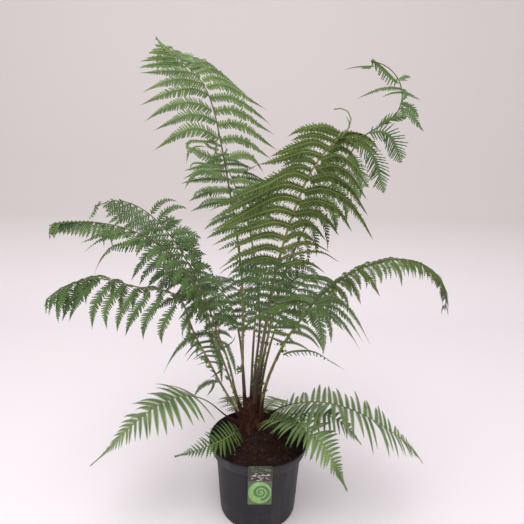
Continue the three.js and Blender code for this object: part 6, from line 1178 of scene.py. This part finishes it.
card = Bin()
xs = np.linspace(-33, 33, 23)
ds = np.linspace(0, 136, 40)
inset = np.where(ds < 3, 3 - np.sqrt(np.maximum(9 - (3 - ds) ** 2, 0)), np.where(ds > 133, 3 - np.sqrt(np.maximum(9 - (ds - 133) ** 2, 0)), 0))
gx = xs[None] / 33 * (33 - inset[:, None])
gd = ds[:, None] + 0 * gx
front, back = on_card(gx, gd, 0.3), on_card(gx, gd, -0.3)
n_r, n_c = gx.shape
card.add(front.reshape(-1, 3), grid_faces(n_r, n_c)[:, ::-1])
card.add(back.reshape(-1, 3), grid_faces(n_r, n_c))
edge = np.concatenate([np.arange(n_c), (np.arange(1, n_r) + 1) * n_c - 1, (n_r - 1) * n_c + np.arange(n_c - 2, -1, -1), np.arange(n_r - 2, 0, -1) * n_c])
m_e = len(edge)
card.add(np.stack([front.reshape(-1, 3)[edge], back.reshape(-1, 3)[edge]]).reshape(-1, 3), grid_faces(2, m_e, True))
M_CARD = material("label_card", [srgb("#47573a"), srgb("#5a6c46")], 0.32, 0.05, scale=30, fine=500, bump=0.05, spec=0.5)
build("label_card", card, M_CARD, smooth=False, replaces=["label"])
M_PANEL = material("label_panel", [srgb("#1b1614"), srgb("#3c322c"), srgb("#262325")], 0.32, 0.05, scale=70, fine=300, bump=0.05, spec=0.5)
M_DISC = material("label_disc", [srgb("#6f9d54"), srgb("#90b873")], 0.32, 0.05, scale=40, fine=300, bump=0.05, spec=0.5)
M_PRINT = material("label_spiral", [srgb("#42683a"), srgb("#527b45")], 0.32, 0.05, scale=60, fine=500, bump=0.05, spec=0.5)
M_PALE = material("label_flecks", [srgb("#b9b2a8"), srgb("#d9d4cb")], 0.32, 0.05, scale=60, fine=500, bump=0.05, spec=0.5)
b = Bin()
panel(b, -32.6, 32.6, 0.8, 52, 0.42)
build("label_picture_field", b, M_PANEL, smooth=False)
# a round green field with a plain spiral on it
b = Bin()
turn = np.linspace(0, 2 * math.pi, 49)[:-1]
rings_ = np.linspace(0.0, 1.0, 8)[1:]
disc_x = np.clip(31.6 * rings_[:, None] * np.cos(turn)[None], -31.8, 31.8)
disc_d = 93 + 38.5 * rings_[:, None] * np.sin(turn)[None]
b.add(on_card(disc_x, disc_d, 0.40).reshape(-1, 3), grid_faces(len(rings_), len(turn), True))
b.add(np.vstack([on_card(disc_x[0], disc_d[0], 0.40), on_card([0.0], [93.0], 0.40)]), [[i, (i + 1) % 48, 48] for i in range(48)])
build("label_disc", b, M_DISC, smooth=False)
b = Bin()
q = np.linspace(0, 1, 90)
th = 2 * math.pi * 2.15 * q + 0.6
rr = 2.2 + 22.5 * q**1.15
wide = 1.6 + 2.9 * q
inner = on_card(2 + (rr - wide) * np.cos(th), 92 + (rr - wide) * 1.08 * np.sin(th), 0.46)
outer = on_card(2 + (rr + wide) * np.cos(th), 92 + (rr + wide) * 1.08 * np.sin(th), 0.46)
b.add(np.stack([inner, outer], 1).reshape(-1, 3), grid_faces(len(q), 2))
build("label_spiral", b, M_PRINT, smooth=False)


def leaf_shape(bin_, x, d, ang_, length, width, out):
    q = np.linspace(0, 1, 9)
    wv = width * np.sin(math.pi * q**0.8) * 0.5
    cx, cd = x + math.cos(ang_) * length * q, d + math.sin(ang_) * length * q
    nx_, nd_ = -math.sin(ang_), math.cos(ang_)
    L_ = on_card(np.clip(cx + nx_ * wv, -31, 31), np.clip(cd + nd_ * wv, 2.4, 53), out)
    R_ = on_card(np.clip(cx - nx_ * wv, -31, 31), np.clip(cd - nd_ * wv, 2.4, 53), out)
    bin_.add(np.stack([L_, R_], 1).reshape(-1, 3), grid_faces(len(q), 2))


g = np.random.default_rng(8)
flecks, leaves_ = Bin(), Bin()
for i in range(26):
    leaf_shape(flecks, g.uniform(-29, 24), g.uniform(24, 50), g.uniform(-0.5, 0.9), g.uniform(5, 15), g.uniform(1.0, 2.6), 0.48)
for i in range(16):
    leaf_shape(leaves_, g.uniform(-30, 20), g.uniform(4, 20), g.uniform(-0.4, 0.5), g.uniform(7, 16), g.uniform(1.6, 3.6), 0.5)
build("label_flecks", flecks, M_PALE, smooth=False)
build("label_leaves", leaves_, M_PRINT, smooth=False)

# ------------------------------------------------------------------ floor, light and camera
floor_me = bpy.data.meshes.new("floor")
back_y, rad = 2.4, 0.9
prof = [(-3.2, 0.0), (back_y - rad, 0.0)]
prof += [(back_y - rad + rad * math.sin(a), rad - rad * math.cos(a)) for a in np.linspace(0, math.pi / 2, 14)[1:]]
prof += [(back_y, 4.2)]
vs, fs = [], []
for x in (-5.0, 5.0):
    vs += [(x, y, z) for y, z in prof]
n = len(prof)
fs = [(i, i + 1, n + i + 1, n + i) for i in range(n - 1)]
floor_me.from_pydata(vs, [], fs)
for p in floor_me.polygons:
    p.use_smooth = True
M_FLOOR = bpy.data.materials.new("studio_floor")
M_FLOOR.use_nodes = True
nt = M_FLOOR.node_tree
coord = nt.nodes.new("ShaderNodeTexCoord")
split = nt.nodes.new("ShaderNodeSeparateXYZ")
rise = nt.nodes.new("ShaderNodeMapRange")
rise.inputs["From Min"].default_value, rise.inputs["From Max"].default_value = 0.0, 0.5
shade = nt.nodes.new("ShaderNodeValToRGB")
shade.color_ramp.elements[0].color = (*srgb("#fbf6fb"), 1)
shade.color_ramp.elements[1].color = (*srgb("#d9d3d2"), 1)
nt.links.new(coord.outputs["Object"], split.inputs[0])
nt.links.new(split.outputs["Z"], rise.inputs["Value"])
nt.links.new(rise.outputs["Result"], shade.inputs["Fac"])
nt.links.new(shade.outputs["Color"], nt.nodes["Principled BSDF"].inputs["Base Color"])
M_FLOOR.node_tree.nodes["Principled BSDF"].inputs["Roughness"].default_value = 0.7
M_FLOOR.node_tree.nodes["Principled BSDF"].inputs["Specular IOR Level"].default_value = 0.2
floor_me.materials.append(M_FLOOR)
floor_ob = bpy.data.objects.new("studio_floor", floor_me)
floor_ob.location = (0, 0, -0.0005)
bpy.context.scene.collection.objects.link(floor_ob)

world = bpy.data.worlds.new("soft_world")
world.use_nodes = True
bg = world.node_tree.nodes["Background"]
bg.inputs["Color"].default_value = (1.0, 0.965, 0.975, 1)
bg.inputs["Strength"].default_value = 0.68
bpy.context.scene.world = world


def area(name, loc, aim, size, power, colour=(1, 1, 1)):
    ld = bpy.data.lights.new(name, "AREA")
    ld.shape = "RECTANGLE"
    ld.size, ld.size_y = size
    ld.energy = power
    ld.color = colour
    ob = bpy.data.objects.new(name, ld)
    ob.location = loc
    ob.rotation_euler = (Vector(aim) - Vector(loc)).to_track_quat("-Z", "Y").to_euler()
    bpy.context.scene.collection.objects.link(ob)
    return ob


area("key", (-0.5, -0.9, 3.3), (0, 0, 0.5), (2.2, 2.2), 52, (1.0, 0.985, 0.97))
area("fill", (0.5, -3.3, 1.5), (0, 0, 0.7), (2.6, 2.0), 24, (1.0, 0.99, 0.98))
bpy.context.scene.view_settings.view_transform = "Standard"

cam_data = bpy.data.cameras.new("camera")
cam_data.lens = 486.3 / 524 * 36
cam_data.sensor_width = 36
cam_data.clip_start, cam_data.clip_end = 0.05, 50
cam = bpy.data.objects.new("camera", cam_data)
pitch, yaw, roll = math.radians(14.93), math.radians(1.58), math.radians(1.18)
fwd = Vector((math.sin(yaw) * math.cos(pitch), math.cos(yaw) * math.cos(pitch), -math.sin(pitch)))
right0 = Vector((math.cos(yaw), -math.sin(yaw), 0))
up0 = right0.cross(fwd)
right = math.cos(roll) * right0 + math.sin(roll) * up0
up = -math.sin(roll) * right0 + math.cos(roll) * up0
m = Matrix.Identity(4)
for i in range(3):
    m[i][0], m[i][1], m[i][2] = right[i], up[i], -fwd[i]
m[0][3], m[1][3], m[2][3] = -0.0359, -1.2626, 1.1077
cam.matrix_world = m
bpy.context.scene.collection.objects.link(cam)
bpy.context.scene.camera = cam

for name, count in MADE:
    print(f"{name}: {count} triangles")
print("triangles in all", sum(c for _, c in MADE))
